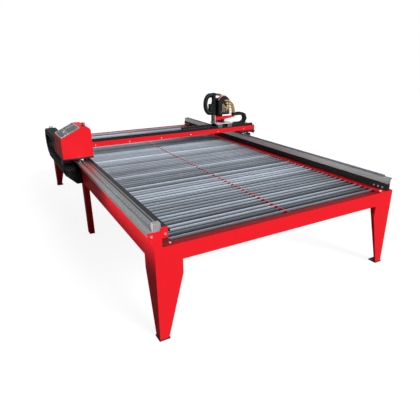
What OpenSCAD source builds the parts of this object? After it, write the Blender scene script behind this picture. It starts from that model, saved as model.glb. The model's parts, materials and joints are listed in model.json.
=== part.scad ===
// Plasma cutting table with a rack-driven gantry, torch carriage and drag chains.
// Millimetres, +Z up, origin on the floor under the middle of the table.
// +X runs along the slats, +Y along the gantry's travel.

/* [Table] */
// Width over the legs
table_w = 2060; // [1600:10:2600]
// Length over the legs
table_l = 3700; // [3000:50:4600]
// Height of the seat that carries the rails
rail_seat_z = 707; // [640:1:800]
// Thickness of the folded plates
plate_t = 6; // [4:0.5:10]

/* [Legs] */
// Width of a leg under the apron
leg_top_w = 178; // [140:1:240]
// Width of a leg at the floor
leg_foot_w = 64; // [50:1:100]
// Straight height of a leg before its taper starts
leg_straight_h = 95; // [40:1:180]
// Width of the post above the apron's underside
post_w = 50; // [40:1:80]
// Side of the square foot plate
foot_size = 74; // [70:1:110]
// Thickness of the foot plate
foot_t = 8; // [5:1:15]
// Reach of the foot plate past the leg's corner
foot_overhang = 5; // [2:1:12]
// Width of a middle leg across the table
middle_leg_w = 50; // [40:1:60]
// Depth of a middle leg along the table
middle_leg_d = 80; // [50:1:140]
// Place of the middle legs along the table
middle_leg_y = 9; // [-100:1:100]
// Wall of the square tubes
tube_wall = 3; // [2:0.5:5]

/* [Frame] */
// Height of the front and rear aprons
apron_h = 111; // [80:1:140]
// Height of the side beams
side_beam_h = 166; // [140:1:220]
// Depth of a side beam's lower flange
lower_flange_w = 70; // [60:1:90]
// Depth of a side beam's upper flange
upper_flange_w = 60; // [55:1:70]
// Thickness of the upper flange
upper_flange_t = 8; // [6:0.5:12]
// Reach of the upper flange past the side beam
flange_lip = 8; // [4:0.5:10]
// Reach of the right side's upper flange past its beam
right_lip = 30; // [10:1:40]
// Height of a cross member
cross_h = 30; // [20:1:34]
// Width of a cross member
cross_w = 40; // [30:1:60]
// Distance between cross members
cross_pitch = 1300; // [900:10:1400]

/* [Bed] */
// Height of the slats' upper edges
slat_top_z = 654; // [652:1:660]
// Height of a slat
slat_h = 68; // [64:1:72]
// Thickness of a slat
slat_t = 4; // [2:0.5:8]
// Distance between slats
slat_pitch = 54; // [40:1:120]
// Distance from the table's end to the first slat
bed_margin = 75; // [70:1:140]
// Distance from the table's side to the slats' ends
slat_inset = 130; // [120:1:200]
// Depth of a comb's slots
slot_depth = 64; // [40:1:65]
// Thickness of the support under the bed's middle
centre_t = 14; // [6:1:20]
// Side clearance of a slat in its slot
slot_clear = 0.5; // [0.2:0.1:1]

/* [Rails] */
// Width of the left rail
rail_w = 90; // [80:1:100]
// Height of both rails
rail_h = 48; // [46:1:60]
// Reach of the left rail past the table's side
rail_outset = 20; // [12:1:24]
// Thickness of the right rail bar
bar_w = 20; // [16:1:20]
// Distance from the table's side to the right rail bar
bar_inset = 38; // [36:1:40]
// Width of a guide rail
guide_w = 15; // [12:1:15]
// Height of a guide rail
guide_h = 15; // [12:1:18]
// Distance from the table's side to the left guide rail's middle
guide_inset = 9; // [4:1:14]
// Distance between the guide rail's bolt holes
guide_hole_pitch = 60; // [50:1:120]
// Width of the black strip beside the left rail
ledge_w = 35; // [20:1:40]
// Reach of the black riser past the right rail bar
riser_ledge = 8; // [4:1:12]
// Thickness of the red end plates
end_plate_t = 5; // [3:0.5:8]
// Height of the end plate's tab above the rail
end_tab_h = 20; // [10:1:30]
// Side of a stop block
stop_size = 45; // [30:1:48]

/* [Drives] */
// Tooth module of racks and pinions
tooth_m = 2.5; // [2.5:0.1:2.5]
// Teeth on a pinion
pinion_teeth = 12; // [12:1:12]
// Width of a rack
rack_w = 15; // [12:1:15]
// Height of a rack over its teeth
rack_h = 15; // [14:1:16]
// Side of the right gantry motor
y_motor_side = 72; // [57:1:74]
// Side of the left gantry motor
left_motor_side = 57; // [42:1:58]
// Length of a gantry motor
y_motor_l = 84; // [60:1:84]
// Side of the carriage motor
x_motor_side = 35; // [30:1:36]
// Length of the carriage motor
x_motor_l = 40; // [36:1:42]

/* [Gantry] */
// Place of the beam's front face along the table
gantry_y = 300; // [100:1:400]
// Depth of the beam
beam_d = 80; // [75:1:90]
// Height of the beam
beam_h = 52; // [50:1:80]
// Wall of the beam
beam_wall = 4; // [3:0.5:6]
// Reach of the gantry past the table's sides
gantry_overhang = 155; // [150:1:200]
// Thickness of the trucks' plates
truck_t = 14; // [10:1:20]
// Height of a sliding block over the rail
block_h = 28; // [27:1:34]
// Length of a sliding block
block_l = 61; // [50:1:70]
// Width of a sliding block
block_w = 34; // [30:1:36]
// Height of the black guide on the beam
x_guide_h = 30; // [28:1:34]
// Width of the black guide on the beam
x_guide_w = 20; // [16:1:24]

/* [Control box] */
// Width of the control box
box_w = 275; // [270:1:300]
// Depth of the control box along the table
box_d = 340; // [300:1:345]
// Height of the outer wall under the sloped panel
box_low_h = 180; // [150:1:200]
// Height of the box above the truck
box_high_h = 272; // [250:1:300]
// Width of the flat top
box_top_w = 84; // [78:1:100]
// Radius of the upper inner edge
box_edge_r = 40; // [20:1:60]
// Wall of the box
box_wall = 2.5; // [1.5:0.5:4]

/* [Drag chains] */
// Link pitch of the table's chain
y_pitch = 72; // [70:0.5:74]
// Height of the table's chain
y_chain_h = 62; // [56:1:62]
// Width of the table's chain
y_chain_w = 104; // [90:1:104]
// Height of the table chain's lower run
y_chain_z = 661; // [655:1:664]
// Links in the table chain's lower run
y_lower_links = 13; // [11:1:13]
// Links in the table chain's upper run
y_upper_links = 9; // [8:1:10]
// Link pitch of the beam's chain
x_pitch = 46; // [45:0.5:47]
// Height of the beam's chain
x_chain_h = 36; // [32:1:37]
// Width of the beam's chain
x_chain_w = 57; // [50:1:57]
// Links in the beam chain's lower run
x_lower_links = 17; // [14:1:18]
// Links in the beam chain's upper run
x_upper_links = 2; // [2:1:2]

/* [Carriage] */
// Place of the torch along the beam
torch_x = 720; // [600:1:730]
// Width of the carriage
carriage_w = 220; // [200:1:230]
// Thickness of the carriage's deck
deck_t = 10; // [8:1:14]
// Height of the lifter's housing
lifter_h = 230; // [220:1:240]
// Width of the lifter's housing
lifter_w = 120; // [110:1:130]
// Wall of the lifter's housing
lifter_wall = 6; // [4:0.5:8]
// Radius of the torch's handle
torch_r = 16; // [12:0.5:18]
// Length of the torch's handle
torch_l = 190; // [180:1:220]
// Gap from the torch's tip to the slats
torch_gap = 74; // [72:1:90]

/* [Hoses] */
// Outer radius of the corrugated conduit
conduit_r = 21; // [16:0.5:24]
// Distance between the conduit's ribs
conduit_rib = 7.5; // [6:0.5:10]
// Radius of a torch lead
lead_r = 6; // [5:0.5:6]

/* [Hidden] */
$fn = 48;
half_w = table_w / 2;
half_l = table_l / 2;
gantry_reach = half_w + gantry_overhang;
clear = 0.3;
run_clear = 0.05;
apron_z = rail_seat_z - side_beam_h;
rail_top = rail_seat_z + rail_h;
truck_z = rail_top + block_h;
beam_z = truck_z + truck_t;
beam_top = beam_z + beam_h;
beam_rear = gantry_y + beam_d;
cross_z = apron_z + plate_t;
comb_z = cross_z + cross_h;
slat_z = slat_top_z - slat_h;
slat_half = half_w - slat_inset;
bed_z = apron_z + apron_h;
comb_half = half_l - post_w - 5;
slat_count = floor((table_l - 2 * bed_margin) / slat_pitch) + 1;
slat_y0 = -(slat_count - 1) * slat_pitch / 2;
rail_half = half_l - end_plate_t;
bar_x = half_w - bar_inset - bar_w;
left_guide_x = -half_w + guide_inset;
right_guide_x = bar_x + bar_w / 2;
guide_half = rail_half - stop_size - 10;

// Gear sizes
tooth_p = PI * tooth_m;
pitch_r = tooth_m * pinion_teeth / 2;
press_angle = 20;
rack_add = 0.8 * tooth_m;
tooth_ded = 1.25 * tooth_m;
backlash = 0.2;
shaft_r = 4;
y_pinion_z = rail_top - rack_h + tooth_m - pitch_r;
left_rack_x = -half_w - rail_outset - rack_w;
right_rack_x = bar_x + bar_w;
left_pinion_y = gantry_y - 150;
right_pinion_y = gantry_y - 10;
left_motor_x = left_rack_x - 19;
bracket_t = 8;
right_motor_x = right_rack_x + rack_w + bracket_t + 1;
bracket_hole_r = 12;
boss_r = 11;
boss_h = 2;
shaft_seat = 5;

// Beam top and carriage
x_guide_y = gantry_y + 13;
x_guide_top = beam_top + x_guide_h;
x_rack_y = gantry_y + 55;
x_pinion_y = x_rack_y + tooth_m - pitch_r;
x_pinion_h = 13;
deck_z = x_guide_top + 21;
deck_y0 = x_guide_y - 22;
deck_y1 = gantry_y + 155;
carriage_x = torch_x + 30;
carriage_x0 = carriage_x - carriage_w / 2;
beam_start = -gantry_reach + cap_t();
x_guide_x0 = -half_w - 10;
cheek_h = 90;
cheek_t = 6;

// Chain tray behind the beam and the chain's places
sheet_t = 2.5;
x_chain_y = beam_rear + 5;
x_chain_z = beam_top + sheet_t + x_chain_h / 2;
x_bend_n = 4;
x_bend_r = x_pitch / (2 * sin(90 / x_bend_n));
bracket_reach = 180;
x_bend_x = torch_x + lifter_w / 2 + bracket_reach + x_upper_links * x_pitch;
y_bend_n = 5;
y_bend_r = y_pitch / (2 * sin(90 / y_bend_n));
y_chain_x = -half_w - 38 - y_chain_w / 2;
box_rear = gantry_y - 30;
y_end_l = y_chain_h / 2 + 3;
y_bend_y = box_rear + y_end_l + y_upper_links * y_pitch;
box_front = box_rear - box_d;
box_x0 = -gantry_reach;
box_x1 = box_x0 + box_w;
box_z = beam_z;
box_low_z = box_z + box_low_h;
box_high_z = beam_z + box_high_h;
slope_x = box_x1 - box_top_w;
slope_run = slope_x - box_x0;
slope_rise = box_high_z - box_low_z;
slope_len = sqrt(slope_run * slope_run + slope_rise * slope_rise);
slope_angle = atan2(slope_rise, slope_run);
panel_margin = 10;
panel_t = 6;
screen_t = 3;
estop_x = box_x1 - 48;
estop_y = box_front + 75;

// Lifter
lifter_y = deck_y1 - 53;
lifter_z = deck_z + deck_t;
lifter_d = 60;
lifter_x0 = torch_x - lifter_w / 2;
screw_r = 5;
screw_y = lifter_y + 38;
slide_y = lifter_y + lifter_d + 2;
slide_t = 8;
torch_y = slide_y + slide_t + 43;
torch_tip_z = slat_top_z + torch_gap;
nozzle_l = 42;
torch_z = torch_tip_z + nozzle_l;
clamp_z = torch_z + torch_l - 80;
z_motor_side = 56;
z_motor_l = 50;
z_motor_dome = 10;
gland_w = 30;
gland_h = 110;
gland_y = lifter_y + 24;
cover_r = 74;
cover_d = 52;
cover_x = torch_x + lifter_w / 2 - 8;
cover_z = lifter_z + lifter_h + 2;

function cap_t() = 5;

// A plate outline stood upright: the outline's first axis runs along X and its second along Z
module upright_x(depth) {
    translate([0, depth, 0]) rotate([90, 0, 0]) linear_extrude(depth) children();
}

// The same with the outline's first axis along Y, thick along X
module upright_y(depth) {
    rotate([90, 0, 90]) linear_extrude(depth) children();
}

// Straight tube with walls, along X from the origin
module tube_x(l, w, h, wall) {
    difference() {
        cube([l, w, h]);
        translate([-1, wall, wall]) cube([l + 2, w - 2 * wall, h - 2 * wall]);
    }
}

// Legs and frame
module leg_outline(top) {
    polygon([[0, foot_t], [leg_foot_w, foot_t], [leg_top_w, apron_z - leg_straight_h],
        [leg_top_w, apron_z], [post_w, apron_z], [post_w, top], [0, top]]);
}

module corner_leg(top) {
    color("red") translate([-half_w, -half_l, 0]) {
        upright_x(plate_t) leg_outline(top);
        upright_y(plate_t) leg_outline(top);
    }
}

module leg_front_left() { corner_leg(rail_seat_z); }
module leg_front_right() { mirror([1, 0, 0]) corner_leg(bed_z); }
module leg_rear_left() { mirror([0, 1, 0]) corner_leg(rail_seat_z); }
module leg_rear_right() { mirror([1, 0, 0]) mirror([0, 1, 0]) corner_leg(bed_z); }

module middle_legs() {
    color("darkred") for (side = [0, 1]) mirror([side, 0, 0])
        translate([-half_w, middle_leg_y - middle_leg_d / 2, 0]) difference() {
            cube([middle_leg_w, middle_leg_d, apron_z]);
            translate([tube_wall, tube_wall, plate_t])
                cube([middle_leg_w - 2 * tube_wall, middle_leg_d - 2 * tube_wall, apron_z]);
        }
}

module foot_plates() {
    color("dimgray") for (sx = [0, 1], sy = [0, 1]) mirror([sx, 0, 0]) mirror([0, sy, 0])
        translate([-half_w - foot_overhang, -half_l - foot_overhang, 0])
            cube([foot_size, foot_size, foot_t]);
}

module apron() {
    color("red") translate([-half_w + post_w, -half_l, apron_z]) {
        cube([table_w - 2 * post_w, plate_t, apron_h]);
        cube([table_w - 2 * post_w, post_w, plate_t]);
        translate([0, 0, apron_h - plate_t]) cube([table_w - 2 * post_w, post_w, plate_t]);
    }
}

module front_apron() { apron(); }
module rear_apron() { mirror([0, 1, 0]) apron(); }

module side_beam(beam_height, lip) {
    beam_l = table_l - 2 * post_w;
    color("darkred") translate([-half_w, -half_l + post_w, apron_z]) {
        cube([plate_t, beam_l, beam_height]);
        cube([lower_flange_w, beam_l, plate_t]);
        translate([-lip, 0, beam_height - upper_flange_t])
            cube([upper_flange_w + lip, beam_l, upper_flange_t]);
    }
}

module left_side_beam() { side_beam(side_beam_h, flange_lip); }
module right_side_beam() { mirror([1, 0, 0]) side_beam(apron_h, right_lip); }

module cross_members() {
    cross_l = table_w - 2 * plate_t;
    color("darkred") for (k = [-1:1])
        translate([-cross_l / 2, k * cross_pitch - cross_w / 2, cross_z])
            tube_x(cross_l, cross_w, cross_h, tube_wall);
}

// Bed: combs with a slot for every slat, and the slats that stand in them
module comb(thick) {
    slot_w = slat_t + 2 * slot_clear;
    comb_h = slat_z + slot_depth - comb_z;
    slot_points = [for (k = [0:slat_count - 1], c = [0:3])
        let (y = slat_y0 + k * slat_pitch, side = c < 2 ? -1 : 1, deep = c == 1 || c == 2)
        [y + side * slot_w / 2, deep ? comb_h - slot_depth : comb_h]];
    color("firebrick") translate([-thick / 2, 0, comb_z]) upright_y(thick)
        polygon(concat([[-comb_half, 0], [-comb_half, comb_h]], slot_points,
            [[comb_half, comb_h], [comb_half, 0]]));
}

// The outer combs hold the slats' ends and carry a ledge out to the rails
module side_comb() {
    ledge_l = bar_x - riser_ledge - 2 - slat_half;
    translate([slat_half - plate_t / 2, 0, 0]) comb(plate_t);
    color("firebrick") translate([slat_half, -comb_half, slat_z + slot_depth - plate_t])
        cube([ledge_l, 2 * comb_half, plate_t]);
}

module left_comb() { mirror([1, 0, 0]) side_comb(); }
module right_comb() { side_comb(); }
module centre_support() { comb(centre_t); }

module slats() {
    color("lightsteelblue") for (k = [0:slat_count - 1])
        translate([-slat_half, slat_y0 + k * slat_pitch - slat_t / 2, slat_z])
            cube([2 * slat_half, slat_t, slat_h]);
}

// Rails
module left_rail() {
    web = 6;
    cell_w = (rail_w - 4 * web) / 3;
    slot_mouth = 8;
    slot_in = 16;
    color("silver") translate([-half_w - rail_outset, -rail_half, rail_seat_z])
        translate([0, 2 * rail_half, 0]) rotate([90, 0, 0]) linear_extrude(2 * rail_half)
            difference() {
                square([rail_w, rail_h]);
                for (k = [0:2]) translate([web + k * (cell_w + web), web])
                    square([cell_w, rail_h - 2 * web - (k == 2 ? 14 : 0)]);
                translate([rail_w - web - cell_w / 2 - slot_mouth / 2, rail_h - 4])
                    square([slot_mouth, 5]);
                translate([rail_w - web - cell_w / 2 - slot_in / 2, rail_h - 10])
                    square([slot_in, 6.5]);
            }
}

module right_rail() {
    color("gray") translate([bar_x, -rail_half, rail_seat_z]) cube([bar_w, 2 * rail_half, rail_h]);
}

module guide_profile() {
    waist = 1.5;
    polygon([[-guide_w / 2, 0], [guide_w / 2, 0], [guide_w / 2, guide_h * 0.3],
        [guide_w / 2 - waist, guide_h * 0.45], [guide_w / 2 - waist, guide_h * 0.65],
        [guide_w / 2, guide_h * 0.8], [guide_w / 2, guide_h], [-guide_w / 2, guide_h],
        [-guide_w / 2, guide_h * 0.8], [-guide_w / 2 + waist, guide_h * 0.65],
        [-guide_w / 2 + waist, guide_h * 0.45], [-guide_w / 2, guide_h * 0.3]]);
}

module guide_rail() {
    hole_count = floor(2 * guide_half / guide_hole_pitch);
    hole_r = 3.75;
    hole_depth = 5.3;
    difference() {
        translate([0, guide_half, rail_top]) rotate([90, 0, 0]) linear_extrude(2 * guide_half)
            guide_profile();
        for (k = [0:hole_count - 1])
            translate([0, (k - (hole_count - 1) / 2) * guide_hole_pitch, rail_top + guide_h - hole_depth])
                cylinder(r = hole_r, h = hole_depth + 1);
    }
}

module guide_rails() {
    color("darkgray") {
        translate([left_guide_x, 0, 0]) guide_rail();
        translate([right_guide_x, 0, 0]) guide_rail();
    }
}

// Toothed rack outline from u0 to u1 with a gap centred on gap_u; the teeth point along the second axis
function rack_outline(u0, u1, gap_u) =
    let (half = tooth_p / 4 - backlash / 4,
        pitch_v = rack_h - tooth_m,
        tip_half = half - rack_add * tan(press_angle),
        root_half = half + tooth_ded * tan(press_angle),
        k0 = ceil((u0 + root_half - gap_u) / tooth_p - 0.5),
        k1 = floor((u1 - root_half - gap_u) / tooth_p - 0.5))
    concat([[u0, 0], [u0, pitch_v - tooth_ded]],
        [for (k = [k0:k1], c = [0:3])
            let (u = gap_u + (k + 0.5) * tooth_p, side = c < 2 ? -1 : 1, tip = c == 1 || c == 2)
            [u + side * (tip ? tip_half : root_half), tip ? pitch_v + rack_add : pitch_v - tooth_ded]],
        [[u1, pitch_v - tooth_ded], [u1, 0]]);

module racks() {
    color("lightgray") {
        translate([left_rack_x, 0, rail_top]) upright_y(rack_w) mirror([0, 1])
            polygon(rack_outline(-rail_half, rail_half, left_pinion_y));
        translate([right_rack_x, 0, rail_top]) upright_y(rack_w) mirror([0, 1])
            polygon(rack_outline(-rail_half, rail_half, right_pinion_y));
    }
}

module rail_strips() {
    ledge_t = 14;
    color("black") {
        translate([-half_w - rail_outset + rail_w, -rail_half, rail_top - ledge_t])
            cube([ledge_w, 2 * rail_half, ledge_t]);
        translate([bar_x - riser_ledge, -rail_half, bed_z])
            cube([bar_w + riser_ledge, 2 * rail_half, rail_seat_z - bed_z]);
    }
}

module rail_end_plates() {
    plate_x0 = left_rack_x;
    plate_x1 = -half_w - rail_outset + rail_w + 18;
    tab_w = 42;
    color("red") for (end = [0, 1]) mirror([0, end, 0])
        translate([0, -half_l, rail_seat_z]) upright_x(end_plate_t)
            polygon([[plate_x0, 0], [plate_x1, 0], [plate_x1, rail_h + end_tab_h],
                [plate_x1 - tab_w, rail_h + end_tab_h], [plate_x1 - tab_w, rail_h], [plate_x0, rail_h]]);
}

// Cap screws: end plates, black strips
module frame_bolts() {
    head_r = 8;
    head_h = 5;
    bolt_z = rail_seat_z + 26;
    left_x = -half_w - rail_outset;
    color("gainsboro") {
        for (end = [0, 1], x = [left_x + 8, left_x + rail_w + 2]) mirror([0, end, 0])
            translate([x, -half_l, bolt_z]) rotate([90, 0, 0]) cylinder(r = head_r, h = head_h);
        for (end = [0, 1], k = [0:2]) mirror([0, end, 0])
            translate([bar_x - riser_ledge, -half_l + 48 + 40 * k, rail_seat_z - 35])
                rotate([0, -90, 0]) cylinder(r = head_r, h = head_h);
        for (end = [0, 1], side = [0, 1]) mirror([side, 0, 0]) mirror([0, end, 0])
            translate([slat_half + 20, -half_l + 30, bed_z]) cylinder(r = head_r, h = head_h);
    }
}

module stop_blocks() {
    color("lightgray") for (end = [0, 1]) mirror([0, end, 0])
        translate([-half_w + 5, -rail_half + 5, rail_top]) difference() {
            cube([stop_size, stop_size - 5, stop_size]);
            translate([stop_size / 2, stop_size / 2, stop_size - 8]) cylinder(r = 7, h = 10);
        }
}

// Drag chains: one link along X, its pivots half a pitch to each side
module link_cheek(p, h, s, web) {
    linear_extrude(s) {
        translate([-web / 2, -h / 2]) square([p / 2 + web / 2, h]);
        translate([p / 2, 0]) circle(r = h / 2 - 1);
    }
}

module chain_link(p, h, w) {
    s = 5;
    gap = 0.5;
    web = p - h - 3;
    bar_t = 4;
    bar_l = p * 0.55;
    for (side = [0, 1]) mirror([0, side, 0]) {
        translate([0, w / 2, 0]) rotate([90, 0, 0]) link_cheek(p, h, s, web);
        translate([0, w / 2 - s - gap, 0]) rotate([90, 0, 0]) mirror([1, 0, 0]) link_cheek(p, h, s, web);
        translate([-web / 2, w / 2 - 2 * s - gap, -h / 2]) cube([web, 2 * s + gap, h]);
    }
    for (z = [-h / 2, h / 2 - bar_t])
        translate([-bar_l / 2, -w / 2 + s, z]) cube([bar_l, w - 2 * s, bar_t]);
}

// Straight run of links from the origin along +X
module chain_run(n, p, h, w) {
    for (k = [0:n - 1]) translate([(k + 0.5) * p, 0, 0]) chain_link(p, h, w);
}

// Straight run after a half-turn, so its links lie on their backs and point along -X
module chain_return(n, p, h, w) {
    for (k = [0:n - 1]) translate([(k + 0.5) * p, 0, 0]) rotate([0, 180, 0]) chain_link(p, h, w);
}

// Half-turn of links from the origin, first pivot at the origin, rising round a bend of radius r
module chain_bend(n, p, h, w, r) {
    step = 180 / n;
    for (k = [0:n - 1]) translate([0, 0, r]) rotate([0, -(k + 0.5) * step, 0])
        translate([0, 0, -r * cos(step / 2)]) chain_link(p, h, w);
}

// The table's chain runs along Y, so its links are turned a quarter
module along_y() {
    translate([y_chain_x, y_bend_y, y_chain_z]) rotate([0, 0, 90]) children();
}

module y_chain_lower() {
    color("black") along_y() translate([-y_lower_links * y_pitch, 0, 0])
        chain_run(y_lower_links, y_pitch, y_chain_h, y_chain_w);
}

module y_chain_bend() {
    color("black") along_y() chain_bend(y_bend_n, y_pitch, y_chain_h, y_chain_w, y_bend_r);
}

module y_chain_upper() {
    run_l = y_upper_links * y_pitch;
    color("black") along_y() translate([-run_l, 0, 2 * y_bend_r]) {
        chain_return(y_upper_links, y_pitch, y_chain_h, y_chain_w);
        translate([-y_end_l, -y_chain_w / 2 + 6, -y_chain_h / 2 + 5])
            cube([y_end_l + 20, y_chain_w - 12, y_chain_h - 10]);
    }
}

module chain_tray() {
    tray_z = y_chain_z - y_chain_h / 2;
    tray_y0 = middle_leg_y - middle_leg_d / 2;
    tray_l = y_bend_y - 20 - tray_y0;
    outer_x = y_chain_x - y_chain_w / 2 - 2;
    gusset_foot = 55;
    lip_h = 18;
    color("black") {
        translate([outer_x, tray_y0, tray_z - sheet_t]) cube([-half_w - outer_x, tray_l, sheet_t]);
        translate([outer_x - sheet_t, tray_y0, tray_z - sheet_t]) cube([sheet_t, tray_l, lip_h]);
        for (k = [0:2]) translate([0, tray_y0 + k * (tray_l - plate_t) / 2, 0]) upright_x(plate_t)
            polygon([[-half_w, apron_z], [-half_w - gusset_foot, apron_z], [outer_x, tray_z - sheet_t],
                [-half_w, tray_z - sheet_t]]);
    }
}

// Gantry
module gantry_beam() {
    color("red") translate([beam_start, gantry_y, beam_z])
        tube_x(-2 * beam_start, beam_d, beam_h, beam_wall);
}

module beam_bolts() {
    bolt_pitch = 365;
    head_r = 7;
    color("mistyrose") for (k = [-2:3])
        translate([(k - 0.19) * bolt_pitch, gantry_y, beam_z + 18]) rotate([90, 0, 0])
            cylinder(r = head_r, h = 4);
}

module beam_end_caps() {
    skirt = truck_t + block_h + 5;
    color("red") {
        translate([-beam_start, gantry_y - 4, beam_z - skirt]) cube([cap_t(), beam_d + 8, beam_h + skirt + 4]);
        translate([beam_start - cap_t(), gantry_y, beam_z]) cube([cap_t(), beam_d, beam_h]);
    }
}

// Plate that carries a gantry motor outside a rail, hung from the truck
module motor_bracket(x, y, motor_side) {
    side = motor_side + 6;
    low = motor_side / 2;
    translate([x, y - side / 2, y_pinion_z - low]) difference() {
        cube([bracket_t, side, beam_z - truck_t - y_pinion_z + low]);
        translate([-1, side / 2, low]) rotate([0, 90, 0]) cylinder(r = bracket_hole_r, h = bracket_t + 2);
    }
}

module left_truck() {
    color("black") {
        translate([box_x0, box_front, truck_z]) cube([box_w, beam_rear + 10 - box_front, truck_t]);
        motor_bracket(left_motor_x, left_pinion_y, left_motor_side);
    }
}

module right_truck() {
    color("black") {
        translate([bar_x - 32, gantry_y - 70, truck_z]) cube([-beam_start - 30 - bar_x + 32, beam_d + 120, truck_t]);
        motor_bracket(right_motor_x - bracket_t, right_pinion_y, y_motor_side);
    }
}

module guide_block(x, y) {
    low = 4;
    translate([x - block_w / 2, y - block_l / 2, rail_top + low]) difference() {
        cube([block_w, block_l, block_h - low]);
        translate([(block_w - guide_w) / 2 - clear, -1, -1])
            cube([guide_w + 2 * clear, block_l + 2, guide_h - low + clear + 1]);
    }
}

module y_guide_blocks() {
    color("slategray") {
        for (y = [box_front + 60, beam_rear - 45]) guide_block(left_guide_x, y);
        for (y = [gantry_y - 36, gantry_y + beam_d + 16]) guide_block(right_guide_x, y);
    }
}

// Square motor along +X from its mounting face, with a bore for the pinion's shaft
module motor_x(side, l) {
    cap_l = 12;
    waist = 0.5;
    difference() {
        union() {
            translate([0, -side / 2, -side / 2]) cube([cap_l, side, side]);
            translate([cap_l, 0, 0]) rotate([0, 90, 0]) rotate([0, 0, 22.5])
                cylinder(r = (side / 2 - waist) / cos(22.5), h = l - 2 * cap_l, $fn = 8);
            translate([l - cap_l, -side / 2, -side / 2]) cube([cap_l, side, side]);
            translate([-boss_h, 0, 0]) rotate([0, 90, 0]) cylinder(r = boss_r, h = boss_h + 1);
        }
        translate([-boss_h - 1, 0, 0]) rotate([0, 90, 0])
            cylinder(r = shaft_r + run_clear, h = boss_h + 1 + shaft_seat + clear);
    }
}

module y_motors() {
    color("midnightblue") {
        translate([left_motor_x, left_pinion_y, y_pinion_z]) mirror([1, 0, 0]) motor_x(left_motor_side, y_motor_l);
        translate([right_motor_x, right_pinion_y, y_pinion_z]) motor_x(y_motor_side, y_motor_l);
    }
}

// Involute pinion: the flank's half angle at radius r follows from the base circle
function involute(a) = tan(a) * 180 / PI - a;
function flank_angle(r, base_r) =
    90 / pinion_teeth - backlash / 4 / pitch_r * 180 / PI + involute(press_angle) - involute(acos(base_r / r));
function polar(r, a) = [r * cos(a), r * sin(a)];

module pinion_gear(h) {
    base_r = pitch_r * cos(press_angle);
    tip_r = pitch_r + tooth_m;
    root_r = pitch_r - tooth_ded;
    flank = [root_r, base_r, (base_r + pitch_r) / 2, pitch_r, (pitch_r + tip_r) / 2, tip_r];
    linear_extrude(h) polygon([for (k = [0:pinion_teeth - 1], c = [0:11])
        let (a = k * 360 / pinion_teeth, rising = c < 6, r = flank[rising ? c : 11 - c],
            half = flank_angle(max(r, base_r), base_r))
        polar(r, a + (rising ? -half : half))]);
}

// Pinion and its shaft along +X; the first tooth points along +Z
module pinion_x(h, shaft_l) {
    rotate([0, 90, 0]) {
        rotate([0, 0, 180]) pinion_gear(h);
        cylinder(r = shaft_r, h = h + shaft_l);
    }
}

module left_pinion() {
    color("dimgray") translate([left_rack_x + rack_w, left_pinion_y, y_pinion_z]) mirror([1, 0, 0])
        pinion_x(rack_w, left_rack_x - left_motor_x + shaft_seat);
}

module right_pinion() {
    color("dimgray") translate([right_rack_x, right_pinion_y, y_pinion_z])
        pinion_x(rack_w, right_motor_x - right_rack_x - rack_w + shaft_seat);
}

// Control box: outline across the table, extruded along it
module box_outline(inset) {
    r = box_edge_r - inset;
    x0 = box_x0 + inset;
    x1 = box_x1 - inset;
    top = box_high_z - inset;
    drop = inset * tan(slope_angle / 2);
    low_side = box_low_z - inset / cos(slope_angle) + inset * tan(slope_angle);
    difference() {
        polygon([[x0, box_z], [x1, box_z], [x1, top], [slope_x + drop, top], [x0, low_side]]);
        difference() {
            translate([x1 - r, top - r]) square([r + 1, r + 1]);
            translate([x1 - r, top - r]) circle(r = r);
        }
    }
}

module control_box() {
    color("red") difference() {
        translate([0, box_front, 0]) upright_x(box_d) box_outline(0);
        translate([0, box_front + box_wall, -1]) upright_x(box_d - 2 * box_wall) box_outline(box_wall);
        translate([0, box_front + box_wall, 0]) upright_x(box_d - 2 * box_wall) box_outline(box_wall);
        translate([estop_x, estop_y, box_high_z - 10]) cylinder(r = 8, h = 20);
    }
}

// Places things on the sloped face: first axis up the slope, second along the table
module on_slope() {
    translate([box_x0, box_front, box_low_z]) rotate([0, -slope_angle, 0]) children();
}

module control_panel() {
    screen_x = slope_len * 0.42;
    color("gray") on_slope() difference() {
        translate([panel_margin, panel_margin, 0])
            cube([slope_len - 2 * panel_margin, box_d - 2 * panel_margin, panel_t]);
        translate([screen_x, 2 * panel_margin, panel_t - screen_t])
            cube([slope_len - screen_x - 2 * panel_margin, box_d * 0.62, screen_t + 1]);
    }
}

module display_screen() {
    screen_x = slope_len * 0.42;
    color("black") on_slope() translate([screen_x, 2 * panel_margin, panel_t - screen_t])
        cube([slope_len - screen_x - 2 * panel_margin, box_d * 0.62, screen_t - 0.5]);
}

module estop_base() {
    color("darkred") translate([estop_x, estop_y, box_high_z]) difference() {
        cylinder(r = 19, h = 12);
        translate([0, 0, -1]) cylinder(r = 6 + run_clear, h = 14);
    }
}

module estop_head() {
    travel = 7;
    color("crimson") translate([estop_x, estop_y, box_high_z]) {
        translate([0, 0, -8]) cylinder(r = 6, h = 8 + 12 + travel + 1);
        translate([0, 0, 12 + travel]) rotate_extrude()
            polygon([[0, 0], [17, 0], [19, 3], [19, 8], [15, 13], [0, 14]]);
    }
}

// Beam top
module x_guide_rail() {
    color("black") translate([x_guide_x0, x_guide_y - 10, beam_top]) difference() {
        cube([-beam_start - 20 - x_guide_x0, x_guide_w, x_guide_h]);
        for (side = [-1.5, x_guide_w - 1.5]) translate([-1, side, x_guide_h * 0.55])
            cube([-2 * beam_start, 3, 6]);
    }
}

module x_rack() {
    color("lightgray") translate([0, x_rack_y + rack_h, beam_top]) linear_extrude(rack_w) mirror([0, 1])
        polygon(rack_outline(x_guide_x0 + 20, -beam_start - 20, carriage_x));
}

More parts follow.
